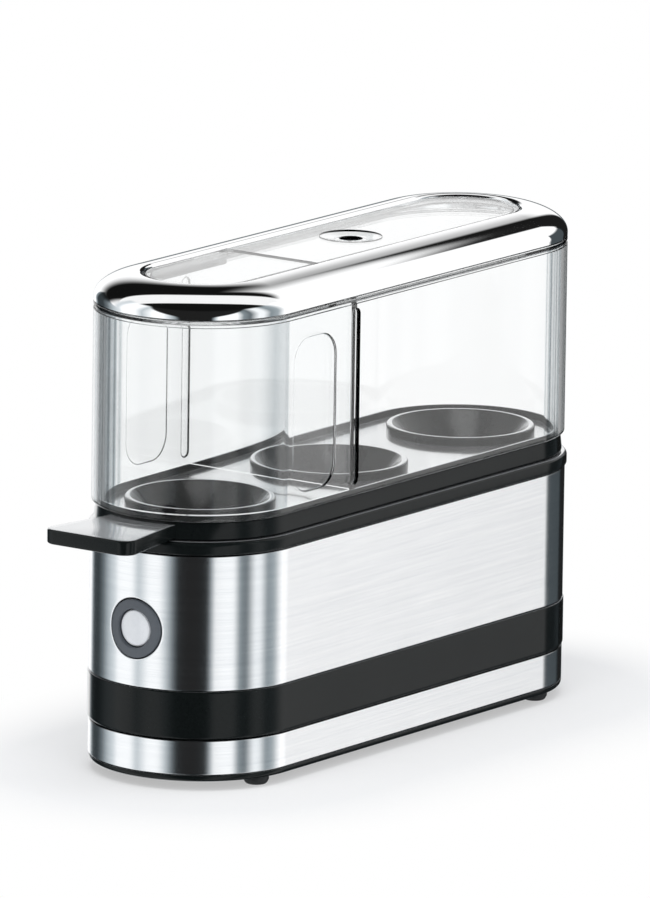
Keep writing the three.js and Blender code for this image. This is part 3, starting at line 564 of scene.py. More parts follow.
def glossy_black(name, light, dark, roughness):
    material = plastic(
        name, light, dark, roughness, Specular_IOR_Level=0.2, Coat_Roughness=0.06, Coat_IOR=2.3,
    )
    t = Tree(material.node_tree)
    shader = t.tree.nodes["Principled BSDF"]
    along = seen_along(t)
    # painted sheen: level faces seen along their surface are lightened and made metallic, partly rendered
    # reflection and partly painted
    level = eased(t, facing_up(t), 0.5, 0.95)
    painted_sheen = t.times(t.times(eased(t, along, 0.5, 0.82), level), 0.72)
    black = shader.inputs["Base Color"].links[0].from_socket
    fill(
        t, shader, Metallic=painted_sheen, Coat_Weight=spread(t, along, 0.6, 0.8),
        Base_Color=between(t, painted_sheen, black, (0.86, 0.88, 0.9)),
    )
    return material


# %% [markdown]
# The clear plastic is a true solid with an inner and an outer wall, so most of its dark edges
# come from light bending in the wall, as they do in the real hood. Where an upright wall turns
# away, a bundle of fine dark upright lines is painted into its colour: painted reflections of
# the dark surroundings, beside the outline. They follow how far the wall has turned, as gloss
# does, so they lie beside the outline from every side. A very slight wave keeps them from being
# ruler-straight.

# %% Clear plastic
# painted shade: each pair is how far the wall has turned away and how much of the colour the painted dark
# lines leave there
painted_edge_shade = [   # how far the wall has turned away, and how much light it lets through
    (0.44, 1.0), (0.455, 0.85), (0.472, 0.45), (0.495, 0.55), (0.525, 0.95), (0.56, 0.85), (0.582, 0.2),
    (0.605, 0.95), (0.65, 0.45), (0.69, 0.98), (0.75, 0.8), (0.79, 0.45), (0.84, 0.9), (1.0, 0.8),
]


def clear(name, tint, roughness, wave):
    material, t, shader = new_material(
        name, IOR=1.49, Transmission_Weight=1.0, Specular_Tint=(0.5, 0.5, 0.5, 1),
    )
    height = noise(t, object_space(t), 60.0, 1.0)
    upright = t.minus(1, eased(t, t.math("ABSOLUTE", facing_up(t)), 0.2, 0.5))
    even = between(t, height, tuple(0.99 * value for value in tint), tint)
    # painted shade: dark upright lines beside the outline are multiplied into the colour of upright walls
    painted_lines = between(t, upright, even, ramp(t, seen_along(t), painted_edge_shade), blend_type="MULTIPLY")
    fill(
        t, shader, Base_Color=painted_lines, Normal=bumped(t, height, wave, MM * 0.2),
        Roughness=use(t, "gloss", Roughness=roughness, Spread=roughness)["Roughness"],
    )
    return material


# %% The finishes by the names of their slots
light_and_dark = {
    "grey_plastic": ((0.105, 0.118, 0.135), (0.085, 0.096, 0.11), 0.38),
    "black_rubber": ((0.022, 0.023, 0.024), (0.014, 0.015, 0.016), 0.62, 3000.0, 0.25),
    "grey_silicone": ((0.5, 0.51, 0.515), (0.44, 0.45, 0.455), 0.5, 2500.0, 0.12),
    "board_green": ((0.03, 0.22, 0.08), (0.02, 0.15, 0.055), 0.35, 1500.0, 0.15),
    "white_plastic": ((0.8, 0.8, 0.76), (0.74, 0.74, 0.7), 0.42),
    "relay_blue": ((0.05, 0.16, 0.42), (0.04, 0.12, 0.33), 0.32),
    "capacitor_red": ((0.42, 0.05, 0.035), (0.34, 0.04, 0.03), 0.34),
    "lead_red": ((0.5, 0.05, 0.04), (0.42, 0.04, 0.035), 0.45),
    "lead_blue": ((0.05, 0.16, 0.5), (0.04, 0.13, 0.42), 0.45),
    "lead_white": ((0.74, 0.74, 0.7), (0.66, 0.66, 0.62), 0.45),
}
for name, values in light_and_dark.items():
    finishes[name] = plastic(name.replace("_", " ").title(), *values)
finishes.update({
    "black_plastic": glossy_black("Black Plastic", (0.0065, 0.0085, 0.0085), (0.004, 0.0055, 0.0055), 0.16),
    "silver_plastic": plastic(
        "Silver Plastic", (0.9, 0.91, 0.93), (0.82, 0.835, 0.855), 0.3, Metallic=0.3,
    ),
    "clear_plastic": clear("Clear Plastic", (0.992, 0.997, 0.998), 0.008, 0.02),
    "clear_lamp": clear("Clear Lamp", (0.9, 0.94, 0.95), 0.05, 0.1),
})
print("finishes:", len(finishes))

# %% [markdown]
# Each CAD node that is not replaced keeps its shape and gets its finish here, from the slot
# that the record gives it. These are mostly the pieces inside the base: the board, the
# element, the leads and the screws that hold them.

# %% Finish every CAD node from its slot
slots = {item["node"]: item["material_slot"] for item in frame["record"]["subparts"]}
for node, obj in frame["nodes"].items():
    obj.data.materials.clear()
    obj.data.materials.append(finishes[slots[node]])
print("CAD nodes finished:", len(frame["nodes"]))

# %% [markdown]
# A dressed piece takes the place of one or more CAD nodes. One call says which body it rides
# on, which nodes it stands for and which slot its finish has.


# %% Put a dressed piece in place of its CAD nodes
def dress(obj, body, *nodes):
    obj.data.materials.clear()
    obj.data.materials.append(finishes[slots[nodes[0]]])
    obj.data.polygons.foreach_set("material_index", [0] * len(obj.data.polygons))
    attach(obj, body)
    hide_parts(*nodes)
    print(f"{obj.name}: {len(obj.data.polygons)} faces, for {', '.join(nodes)}")
    return obj


# %% [markdown]
# ## Repeated pieces
# Feet and screws stand at the four corners of a rectangle, and the slots in the bottom plate
# stand in a row. One tree does both: it lays a grid of points and puts a copy of the piece on
# each. The corner places come from the CAD nodes themselves.


# %% Copies on a grid, as a Geometry Nodes tree
def copies_on_a_grid():
    t, given, result = geometry_tree(
        "Copies on a Grid", ("Size X", "Float"), ("Size Y", "Float"),
        ("Count X", "Int"), ("Count Y", "Int"), ("Centre", "Vector"),
    )
    sizes = {name: given[name] for name in ("Size X", "Size Y")}
    counts = {"Vertices X": given["Count X"], "Vertices Y": given["Count Y"]}
    grid = t.node("GeometryNodeMeshGrid", {**sizes, **counts}).outputs["Mesh"]
    placed = t.node("GeometryNodeTransform", {"Geometry": grid, "Translation": given["Centre"]})
    wanted = {"Points": placed.outputs[0], "Instance": given["Geometry"]}
    return closed_tree(t, given, result, t.node("GeometryNodeInstanceOnPoints", wanted).outputs[0])


grid_tree = copies_on_a_grid()


def at_corners(obj, *nodes):
    first, last = centre_of(nodes[0]), centre_of(nodes[2])
    return run(
        grid_tree, obj, size_x=last.x - first.x, size_y=last.y - first.y, count_x=2, count_y=2,
        centre=((first.x + last.x) / 2, 0, 0),
    )


print("nodes in the grid tree:", len(grid_tree.nodes))

# %% [markdown]
# ## The foot of the machine
# The bottom plate is a shallow moulded tray with a rounded lip that shows as a thin black
# line under the steel. From below it has five air slots and four counterbores for the screws.
# The slots are cut by one cutter that the grid tree repeats.

# %% Bottom plate
plate_z = levels("bottom_plate")[0]
housing_outer = reach("inner_housing")
housing_inner = housing_outer - 1.8 * MM
lip_top = plate_z + 2 * MM
spigot_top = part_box("inner_housing")[0].z - seam
plate = carried("bottom_plate_dressed", rounded([
    (0, plate_z), (end_radius, plate_z, 1.5 * MM), (end_radius, lip_top, 0.2 * MM),
    (housing_outer, lip_top), (housing_outer, spigot_top, 0.4 * MM),
    (housing_inner, spigot_top, 0.4 * MM), (housing_inner, lip_top, 0.6 * MM), (0, lip_top),
]))
print(f"plate from {plate_z / MM:.1f} to {spigot_top / MM:.1f} mm above the table")

# %% Screw bosses, counterbores and air slots
screw_names = [f"chassis_screw_{i}" for i in range(1, 5)]
boss_low, boss_top = plate_z + 1 * MM, plate_z + 6 * MM
boss = turned("boss", rounded([
    (0, boss_low), (4.5 * MM, boss_low), (4.5 * MM, boss_top, 0.4 * MM), (0, boss_top),
]))
head_seat, bore_top = plate_z + 3 * MM, plate_z + 9 * MM
bore = turned("bore", [
    (0, 0), (3.5 * MM, 0), (3.5 * MM, head_seat), (1.8 * MM, head_seat),
    (1.8 * MM, bore_top), (0, bore_top),
])
slot = carried("slot", rod(1.2 * MM, 0, plate_z + 4 * MM), run_length=6.8 * MM, centre=0, steps=12)
slot.data.transform(Matrix.Rotation(math.pi / 2, 4, "Z"))
run(grid_tree, slot, size_x=40 * MM, size_y=0.0, count_x=5, count_y=1, centre=(middle, 0, 0))
joined(plate, at_corners(boss, *screw_names))
cut(plate, at_corners(bore, *screw_names), slot)
dress(smooth(plate), "base", "bottom_plate")

# %% [markdown]
# The four feet are low rubber buttons with a domed face. A lathe gives the shape, and the
# grid tree puts one at each corner. The screws beside them are turned in the same way, and a
# cross is cut into each head for the screwdriver.

# %% Feet and screws under the plate
foot_names = [f"foot_{i}" for i in range(1, 5)]
foot_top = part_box("foot_1")[1].z
foot = turned("feet", rounded([
    (0, 0), (3.2 * MM, 0, 1.0 * MM), (4 * MM, 1.4 * MM, 1.2 * MM), (4 * MM, 2.7 * MM, 0.2 * MM),
    (1.5 * MM, 2.7 * MM), (1.5 * MM, foot_top), (0, foot_top),
]))
dress(smooth(at_corners(foot, *foot_names)), "base", *foot_names)


def cross_cutter(width, length, bottom, top):
    points = []
    for quarter in range(4):
        turn = Matrix.Rotation(quarter * math.pi / 2, 2)
        points += [turn @ Vector(p) for p in ((width, width), (width, length), (-width, length))]
    count = len(points)
    narrowing = 0.55   # a cross recess tapers towards its bottom
    vertices = [(*p, bottom) for p in points] + [(*(p * narrowing), top) for p in points]
    sides = [(i, (i + 1) % count, (i + 1) % count + count, i + count) for i in range(count)]
    ends = [range(count), range(2 * count - 1, count - 1, -1)]
    return smooth(new_object("cross", vertices, sides + ends))


def cross_screw(name, head, shank, seat, low, high):
    screw = turned(name, rounded([
        (0, low), (head, low, 0.7 * MM), (head, seat, 0.15 * MM), (shank, seat),
        (shank, high - 1 * MM), (0, high),
    ]))
    return smooth(cut(screw, cross_cutter(head * 0.14, head * 0.66, low - 0.2 * MM, low + 1.2 * MM)))


screw_low, screw_high = levels(screw_names[0])
screws = cross_screw("chassis_screws", 3.2 * MM, 1.5 * MM, screw_low + 1.8 * MM, screw_low, screw_high)
dress(smooth(at_corners(screws, *screw_names)), "base", *screw_names)

# %% [markdown]
# ## Skins of the base
# Three rings stand on each other: brushed steel, a black band and the tall steel sleeve. Each
# is a thin wall with its edges turned over a little. A flat ring would do from afar, but the
# turned edges draw the thin bright lines that separate the rings in the photograph.


# %% A ring of the base, and pieces that lie along X
def ring(name, inner, outer, node, lower=0.25 * MM, upper=0.25 * MM):
    low, high = levels(node)
    return carried(name, rounded([
        (inner, low, 0.15 * MM), (outer, low, lower), (outer, high, upper), (inner, high, 0.15 * MM),
    ]), steps=96)


def along_x(obj, x, z):
    """Turns a piece made upright so that its axis runs along +X, from the point x, z."""
    obj.data.transform(Matrix(((0, 0, 1, x), (1, 0, 0, 0), (0, 1, 0, z), (0, 0, 0, 1))))
    return obj


# %% [markdown]
# A Boolean cut leaves uneven faces round a hole in a curved wall, and on polished steel they
# would show as dents. So the shading normals of the shells are set from the track itself,
# which is exact everywhere.


# %% Normals from the track
def track_normal(place):
    offset = place.x - middle
    if abs(offset) <= half_run:
        return Vector((0, math.copysign(1, place.y), 0))
    centre = Vector((middle + math.copysign(half_run, offset), 0, 0))
    return Vector((place.x - centre.x, place.y, 0)).normalized()


def follow_track(obj):
    """Gives upright faces the normals of the track that they lie on, and level faces their own."""
    mesh = obj.data
    normals = [None] * len(mesh.loops)
    for face in mesh.polygons:
        for index in face.loop_indices:
            exact = track_normal(mesh.vertices[mesh.loops[index].vertex_index].co)
            lean = face.normal.dot(exact)
            upright = abs(lean) > 0.97 and abs(face.normal.z) < 0.02
            level = abs(face.normal.z) > 0.9999
            smoothed = face.normal.copy() if level else mesh.corner_normals[index].vector.copy()
            normals[index] = exact * math.copysign(1, lean) if upright else smoothed
    mesh.normals_split_custom_set(normals)
    return obj


# %% Lower ring and black band
steel = 0.8 * MM   # thickness of the sheet
steel_inner = end_radius - steel
lower_ring = ring("lower_ring_dressed", steel_inner, end_radius, "lower_steel_ring")
dress(follow_track(lower_ring), "base", "lower_steel_ring")

band_outer = reach("base_band")
band = ring("base_band_dressed", steel_inner, band_outer, "base_band", 1.1 * MM, 0.45 * MM)
inlet = centre_of("cord_gland")
hole = turned("hole", rod(5.5 * MM, 0, end_radius))
cut(band, along_x(hole, middle + half_run + end_radius / 2, inlet.z))
dress(follow_track(smooth(band)), "base", "base_band")

# %% [markdown]
# The sleeve has a round hole for the button in its curved end. It is cut a little too wide,
# and a turned eyelet with the same curve and a soft edge fills it up to the button.


# %% Steel sleeve with its eyelet
def wrapped(obj, depth):
    """Bends a piece that was made flat on the near end: whole at its face, not at all at this depth."""
    for vertex in obj.data.vertices:
        share = 1 - min(max((vertex.co.x - near_face) / depth, 0), 1)
        vertex.co.x += share * (end_radius - math.sqrt(end_radius**2 - vertex.co.y**2))
    return obj


button = centre_of("button_bezel")
eyelet_inner, eyelet_outer = 9.5 * MM, 10.4 * MM
sleeve = ring("steel_sleeve_dressed", steel_inner, end_radius, "steel_sleeve")
hole = turned("hole", rod(eyelet_outer, -end_radius / 3, end_radius / 2), steps=48)
cut(sleeve, along_x(hole, near_face, button.z))
dress(follow_track(smooth(sleeve)), "base", "steel_sleeve")

eyelet = turned("eyelet", rounded([
    (eyelet_inner, 0, 0.55 * MM), (eyelet_outer, 0), (eyelet_outer, steel), (eyelet_inner, steel, 0.1 * MM),
], 6), steps=48)
far_deeper = 1.0   # a metre, so that the eyelet is bent alike through its whole thickness
dress(wrapped(along_x(eyelet, near_face, button.z), far_deeper), "base", "steel_sleeve")

# %% [markdown]
# The collar is the black moulding between the steel and the tray. It bulges a little beyond
# the steel, with a rounder top than bottom, so it shows a soft highlight along its shoulder.

# %% Collar
collar_low, collar_top = levels("collar")
collar_bore = end_radius - 7 * MM
collar = carried("collar_dressed", rounded([
    (collar_bore, collar_low + 1.6 * MM, 0.2 * MM), (steel_inner, collar_low + 1.6 * MM),
    (steel_inner, collar_low, 0.2 * MM), (reach("collar"), collar_low, 0.9 * MM),
    (reach("collar"), collar_top, 1.4 * MM), (collar_bore, collar_top, 0.4 * MM),
], 8), steps=96)
dress(collar, "base", "collar")

# %% [markdown]
# ## Push button
# The bezel and the cap are turned pieces whose faces follow the round end of the body. They
# are made flat and then bent: full at the face, and not at all at the back, where the return
# spring and the switch stand.

# %% Bezel and cap
bezel_radius = reach("button_bezel")
cap_bore, throat_radius = 6.1 * MM, 7.6 * MM
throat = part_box("button_bezel")[1].x - near_face
proud = 0.3 * MM   # how far the bezel's face stands out of the steel
bezel = turned("bezel_dressed", rounded([
    (cap_bore, -proud, 0.5 * MM), (bezel_radius, -proud, 0.45 * MM), (bezel_radius, steel),
    (throat_radius, steel), (throat_radius, throat, 0.3 * MM), (cap_bore, throat, 0.2 * MM),
], 6), steps=64)
dress(wrapped(along_x(bezel, near_face, button.z), throat), "base", "button_bezel")

cap_radius = reach("button_cap")
cap_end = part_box("button_cap")[1].x - near_face
cap_face, stem = 5.8 * MM, 1.8 * MM
flange = throat + seam
flange_back = flange + 1.5 * MM
face = [(cap_face * k / 8, (0.3 + 0.3 * (k / 8) ** 2) * MM) for k in range(8)]   # slightly domed
cap = turned("cap_dressed", rounded([
    *face, (cap_face, 0.62 * MM, 0.75 * MM), (cap_face, flange), (cap_radius, flange, 0.2 * MM),
    (cap_radius, flange_back, 0.2 * MM), (stem, flange_back), (stem, cap_end, 0.4 * MM), (0, cap_end),
], 6), steps=64)
dress(wrapped(along_x(cap, near_face, button.z), 5 * MM), "push_button", "button_cap")

# %% [markdown]
# The return spring stands between the cap's flange and the bulkhead. Its rule is a spiral with
# a round wire swept along it, as long as the CAD spring. It rides on the base and keeps its
# length when the cap moves.


# %% Return spring
def coil():
    t, given, result = geometry_tree(
        "Coil Spring", ("Radius", "Float"), ("Length", "Float"), ("Turns", "Float"), ("Wire", "Float"),
    )
    sizes = {"Start Radius": given["Radius"], "End Radius": given["Radius"], "Height": given["Length"]}
    spiral = t.node("GeometryNodeCurveSpiral", {**sizes, "Resolution": 32, "Rotations": given["Turns"]})
    round_wire = {"Resolution": 12, "Radius": given["Wire"]}
    profile = t.node("GeometryNodeCurvePrimitiveCircle", round_wire, mode="RADIUS").outputs["Curve"]
    wanted = {"Curve": spiral.outputs[0], "Profile Curve": profile, "Fill Caps": True}
    return closed_tree(t, given, result, t.node("GeometryNodeCurveToMesh", wanted).outputs[0])


spring_low, spring_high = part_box("button_spring")
wire = 0.4 * MM
spring_length = spring_high.x - spring_low.x
spring = run(
    coil(), new_object("spring_dressed"), radius=(spring_high.z - spring_low.z) / 2 - wire,
    length=spring_length - 2 * wire, turns=4.0, wire=wire,
)
along_x(spring, spring_low.x + wire, button.z)
dress(smooth(spring), "base", "button_spring")
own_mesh(spring)

# %% [markdown]
# The cord gland is a turned sleeve in the band's far end, with a flange on the outside. The
# back of the flange has to follow the curve of the band, so a block with the band's outline,
# bored out for the sleeve, is cut from it. A flat flange would stand off at both sides.

# %% Cord gland
gland_low, gland_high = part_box("cord_gland")
cord_hole, gland_sleeve, gland_flange = 3.2 * MM, 5.2 * MM, 6.8 * MM
gland_end = gland_high.x - gland_low.x
flange_foot = gland_end - 4 * MM
gland = turned("gland_dressed", rounded([
    (cord_hole, 0), (gland_sleeve, 0, 0.4 * MM), (gland_sleeve, flange_foot), (gland_flange, flange_foot),
    (gland_flange, gland_end, 0.6 * MM), (cord_hole, gland_end, 0.6 * MM),
]), steps=48)
inside_band = carried("band_solid", rod(band_outer + seam, inlet.z - 12 * MM, inlet.z + 12 * MM))
round_sleeve = turned("hollow", [
    (gland_sleeve, -9 * MM), (9 * MM, -9 * MM), (9 * MM, 30 * MM), (gland_sleeve, 30 * MM),
])
combined(inside_band, "INTERSECT", [along_x(round_sleeve, gland_low.x, inlet.z)])
cut(along_x(gland, gland_low.x, inlet.z), inside_band)
dress(smooth(gland), "base", "cord_gland")

# %% [markdown]
# ## Heating pan
# The pan is pressed from one sheet of aluminium, so it has soft corners and the same wall
# everywhere. It has two studs below for the element and four screw holes in its flange. A
# silicone gasket lies between the flange and the collar.

# %% Pan and gasket
gasket_low, gasket_high = levels("pan_gasket")
flange_top = gasket_low - seam
flange_low = flange_top - 1 * MM
pan_floor = flange_top - 13.4 * MM
pan_outer = reach("heating_pan")
pan = carried("pan_dressed", rounded([
    (0, pan_floor), (22.7 * MM, pan_floor, 2.4 * MM), (26 * MM, flange_low, 0.4 * MM),
    (pan_outer, flange_low, 0.2 * MM), (pan_outer, flange_top, 0.2 * MM), (25 * MM, flange_top, 0.6 * MM),
    (21.7 * MM, pan_floor + 1.2 * MM, 1.6 * MM), (0, pan_floor + 1.2 * MM),
]), steps=72)
gasket = carried("gasket_dressed", rounded([
    (collar_bore, gasket_low, 0.3 * MM), (pan_outer, gasket_low), (pan_outer, gasket_high),
    (collar_bore, gasket_high, 0.3 * MM),
]), steps=72)
print(f"pan {(flange_top - pan_floor) / MM:.1f} mm deep")

# %% Studs and screw holes of the pan
stud_low, stud_top = levels("heating_pan")[0], pan_floor + 0.6 * MM
for side in (-1, 1):
    stud = turned("stud", rounded([
        (0, stud_low), (1.5 * MM, stud_low, 0.3 * MM), (1.5 * MM, stud_top), (0, stud_top),
    ]), steps=12)
    joined(pan, moved(stud, middle + side * 20 * MM))
pan_screws = [f"pan_screw_{i}" for i in range(1, 5)]
for piece, low, high in ((pan, flange_low, flange_top), (gasket, gasket_low, gasket_high)):
    drill = turned("drill", rod(1.3 * MM, low - 1 * MM, high + 1 * MM), steps=12)
    cut(piece, at_corners(drill, *pan_screws))
dress(smooth(pan), "base", "heating_pan")
dress(smooth(gasket), "base", "pan_gasket")

# %% [markdown]
# ## Egg tray
# The tray is one moulding: a rim that leans inwards, an edge inside it that centres the
# hood, a flat deck and three funnel-shaped seats open at the bottom. Rim and deck come off the
# oblong lathe, and the same lathe with no straight run turns the seats.

# %% Rim, deck and skirt
hood_low = levels("lid_hood")[0]
tray_z = collar_top + seam
rim_top = hood_low - seam
deck_top = rim_top - 0.3 * MM
deck_low = deck_top - 2 * MM
rim_outer = reach("egg_tray")
upstand_outer, upstand_top = 31.3 * MM, rim_top + 1.9 * MM
upstand_inner = upstand_outer - 1.2 * MM
skirt_outer, skirt_low = collar_bore - 0.6 * MM, deck_top - 9 * MM
skirt_inner = skirt_outer - 1.6 * MM
tray = carried("egg_tray_dressed", rounded([
    (0, deck_low), (skirt_inner, deck_low, 0.4 * MM), (skirt_inner, skirt_low, 0.3 * MM),
    (skirt_outer, skirt_low, 0.5 * MM), (skirt_outer, deck_low, 0.4 * MM),
    (upstand_inner, deck_low, 0.4 * MM), (upstand_inner, tray_z, 0.3 * MM), (rim_outer, tray_z, 0.6 * MM),
    (rim_outer - 0.6 * MM, rim_top, 0.35 * MM), (upstand_outer, rim_top, 0.3 * MM),
    (upstand_outer, upstand_top, 0.35 * MM), (upstand_inner, upstand_top, 0.35 * MM),
    (upstand_inner, deck_top, 0.5 * MM), (0, deck_top),
]), steps=96)
print(f"deck {deck_low / MM:.1f} to {deck_top / MM:.1f} mm above the table")

# %% Seats
well_outer = skirt_inner - 1.3 * MM
well_mouth = well_outer - 1.8 * MM
well_top = deck_top + 2.6 * MM
well_foot = well_top - 15.4 * MM
throat_inner = 8.4 * MM
seat_outline = rounded([
    (throat_inner, well_foot, 0.5 * MM), (throat_inner + 1.8 * MM, well_foot, 0.5 * MM),
    (well_outer, deck_low, 1 * MM), (well_outer, well_top, 0.8 * MM), (well_mouth, well_top, 0.7 * MM),
], 6)
places = [middle + place * half_run for place in (-1, 0, 1)]
for place in places:
    opening = turned("opening", rod(well_outer - 0.8 * MM, deck_low - MM, deck_top + MM), steps=72)
    cut(tray, moved(opening, place))
for place in places:
    joined(tray, moved(turned("seat", seat_outline, steps=72), place))
print("seats:", len(places))

# %% [markdown]
# The handle is part of the same moulding: a flat grip at one end that widens towards its tip,
# with rounded corners. Its outline is drawn a little smaller at the top and at the bottom, so
# that the edges all round are rounded over. A Bevel modifier would do it too, but this gives
# the same round on the corners as on the sides.


# %% Handle of the tray
def loft(name, outlines):
    """Joins closed outlines of the same number of points, one above another, and closes the ends."""
    count = len(outlines[0])
    vertices = [point for outline in outlines for point in outline]
    faces = [range(count), range(len(vertices) - count, len(vertices))]
    for base in range(0, len(vertices) - count, count):
        corners = [(base + i, base + (i + 1) % count) for i in range(count)]
        faces += [(first, second, second + count, first + count) for first, second in corners]
    return smooth(new_object(name, vertices, faces))


def edge_rounding(low, high, radius, steps=5):
    """Levels with how far the outline is drawn in at each, for a slab with rounded edges."""
    lower = [(math.pi / 2 * k / steps) for k in range(steps + 1)]
    rise = [(radius * (1 - math.sin(a)), low + radius * (1 - math.cos(a))) for a in lower]
    return rise + [(inset, high - (z - low)) for inset, z in reversed(rise)]


handle_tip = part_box("egg_tray")[0].x
handle_top = tray_z + 4.7 * MM


def handle_outline(inset, z):
    tip, corner = handle_tip + inset, 4.5 * MM - inset
    tip_half, root_half = 16.5 * MM - inset, 12.8 * MM - inset
    half = [(near_face + 20 * MM, root_half), (near_face, root_half)]
    for k in range(13):
        angle = math.pi / 2 * (1 + k / 12)
        half.append((tip + corner + corner * math.cos(angle), tip_half - corner + corner * math.sin(angle)))
    return [(x, y, z) for x, y in half] + [(x, -y, z) for x, y in reversed(half)]


# just clear of the rim's foot, so that the join has no two faces in one plane
handle_low = tray_z + 0.04 * MM
slab = edge_rounding(handle_low, handle_top, 0.7 * MM)
handle = loft("handle", [handle_outline(*level) for level in slab])
inside = carried("inside", rod(upstand_inner + 0.3 * MM, tray_z - MM, handle_top + MM))
joined(tray, cut(handle, inside))
dress(smooth(tray), "tray", "egg_tray")

# %% [markdown]
# ## Clear hood
# The hood is moulded in clear plastic with a wall of 1.8 mm. It has a groove round it near the
# top, a step where the chrome frame sits, and a raised window that carries the steam vent. The
# grips and the upright groove are shallow pockets in both long sides. Their cutters are lofts
# with a rounded floor edge, because a moulded pocket has no sharp edge inside.

# %% Outline of the hood
hood_outer = reach("lid_hood")
hood_wall = 1.8 * MM
hood_inner = hood_outer - hood_wall
chrome_z, chrome_top = levels("chrome_frame")
hood_top = chrome_z - seam
plateau_top = levels("lid_hood")[1]
top_plate = plateau_top - 1.9 * MM
neck = hood_outer - 1.9 * MM
shoulder = 6.2 * MM
window_radius = hood_outer - 14.9 * MM
plateau_radius = window_radius - 0.5 * MM
groove_top = chrome_z - 1.3 * MM
groove_low = groove_top - 1.1 * MM
groove_r = hood_outer - 0.4 * MM
hood = carried("hood_dressed", rounded([
    (0, hood_low), (hood_outer, hood_low, 0.8 * MM), (hood_outer, groove_low, 0.15 * MM),
    (groove_r, groove_low, 0.12 * MM), (groove_r, groove_top, 0.12 * MM),
    (hood_outer, groove_top, 0.15 * MM), (hood_outer, hood_top, 0.4 * MM),
    (neck, hood_top, 0.3 * MM), (neck, top_plate, shoulder),
    (plateau_radius, top_plate, 0.3 * MM), (plateau_radius, plateau_top, 0.4 * MM), (0, plateau_top),
], 8), steps=96)


def roof(bottom, side, inset, step, step_top):
    """Outline of the space under a roof that follows the hood's shoulder, drawn in by inset."""
    slope_top = hood_top + 0.1 * MM
    inner_neck = neck - inset
    return rounded([
        (0, bottom), (side, bottom), (side, slope_top - (side - inner_neck), 1 * MM),
        (inner_neck, slope_top, 0.5 * MM), (inner_neck, top_plate - inset, shoulder - inset),
        (step, top_plate - inset, 0.3 * MM), (step, step_top, 0.5 * MM), (0, step_top),
    ], 8)


# %% Cutter for a pocket in the hood's side
def pad_cutter(x, width, height, corner, depth, bottom, side, soft=0.55 * MM):
    centre_z = hood_low + bottom + height / 2

    def outline(inset, y):
        w, h, c = width / 2 - inset, height / 2 - inset, corner - inset
        points = []
        for quarter in range(4):
            diagonal = math.pi / 4 + quarter * math.pi / 2
            corner_x = x + math.copysign(w - c, math.cos(diagonal))
            corner_z = centre_z + math.copysign(h - c, math.sin(diagonal))
            for k in range(9):
                angle = math.pi / 2 * (quarter + k / 8)
                points.append((corner_x + c * math.cos(angle), y, corner_z + c * math.sin(angle)))
        return points

    floor = hood_outer - depth
    turns = [math.pi / 2 * k / 6 for k in range(7)]
    rise = [(soft * (1 - math.sin(a)), side * (floor + soft * (1 - math.cos(a)))) for a in turns]
    return loft("pocket", [outline(*level) for level in [*rise, (0, side * (hood_outer + MM))]])


# %% [markdown]
# The window is split across: beyond the line it belongs to the hood, and on this side it is
# the flat base of the measuring cup that is stored in the hood. So the hood's window is cut
# away on this side, just far enough for the cup to stand through it.

# %% The space inside the hood, and the opening for the cup
split = middle + 2.1 * MM - half_run / 2
half_gap = 0.15 * MM   # from the split to the hood on one side and to the cup on the other
under_window = plateau_top - hood_wall
hollow = carried("hollow", roof(
    hood_low - MM, hood_inner, hood_wall, plateau_radius - hood_wall, under_window,
), steps=96)
mouth_low, mouth_high = hood_top + 1.9 * MM, plateau_top + 2 * MM
mouth_radius = plateau_radius + 0.32 * MM   # takes the small fillet round the window along
mouth = carried("mouth", rod(mouth_radius, mouth_low, mouth_high), steps=96)
print(f"window split {(split - middle) / MM:.1f} mm from the middle")

# %% Steam vent in its dish
vent_x = middle + 9.2 * MM
dish_z = plateau_top - 0.8 * MM
vent = turned("vent", rounded([
    (0, mouth_low), (3.6 * MM, mouth_low), (3.6 * MM, dish_z, 0.3 * MM), (5.2 * MM, dish_z, 1.2 * MM),
    (10.4 * MM, plateau_top + 0.05 * MM, 2 * MM), (11 * MM, plateau_top + MM), (0, plateau_top + MM),
]), steps=40)
bulge = turned("bulge", rounded([   # lowers the ceiling under the dish, so that the wall stays even
    (0, under_window - 0.8 * MM), (5.2 * MM, under_window - 0.8 * MM, 1.2 * MM),
    (10.4 * MM, under_window + 0.05 * MM, 2 * MM), (11 * MM, under_window + 0.6 * MM),
    (0, under_window + 0.6 * MM),
]), steps=40)
print(f"vent {(vent_x - split) / MM:.1f} mm past the split")

# %% Cut the hood
cut(hollow, moved(bulge, vent_x))
cut(hood, hollow, kept_side(mouth, split + half_gap), moved(vent, vent_x))
for side in (-1, 1):
    grip = pad_cutter(split - 23.4 * MM, 22.5 * MM, 49 * MM, 8 * MM, 0.7 * MM, 5.4 * MM, side)
    groove = pad_cutter(split - 2 * MM, 4.4 * MM, 56 * MM, 2.2 * MM, 1.1 * MM, 3.5 * MM, side, 1 * MM)
    cut(hood, grip, groove)
dress(follow_track(smooth(hood, 30)), "lid", "lid_hood")

# %% [markdown]
# ## Measuring cup
# The cup is clear too and follows the inside of the hood with a small gap all round. It is
# the near half of an oblong shell, cut off by a flat wall. The outside and the inside are made
# as two solids, each cut off at its own plane, and the wall is what lies between them.

# %% Measuring cup
cup_low = levels("measuring_cup")[0]
cup_face = split - half_gap
cup_outer = hood_inner - seam
cup_step = plateau_radius - seam
cup = carried("cup_dressed", roof(cup_low, cup_outer, hood_wall + seam, cup_step, plateau_top), steps=96)
cup_hollow = carried("cup_hollow", roof(
    cup_low - MM, cup_outer - hood_wall, 2 * hood_wall + seam, cup_step - hood_wall, under_window,
), steps=96)
kept_side(cup, cup_face)
cut(cup, kept_side(cup_hollow, cup_face - hood_wall))
dress(follow_track(smooth(cup, 30)), "cup", "measuring_cup")

# %% [markdown]
# ## Chrome frame
# The frame that closes the top is pressed steel or plated plastic. It is domed from the window
# down to its side, and a small rounded lip turns down into the window. A mirror finish shows
# every kink, so the dome is one quarter of an ellipse instead of several joined curves.

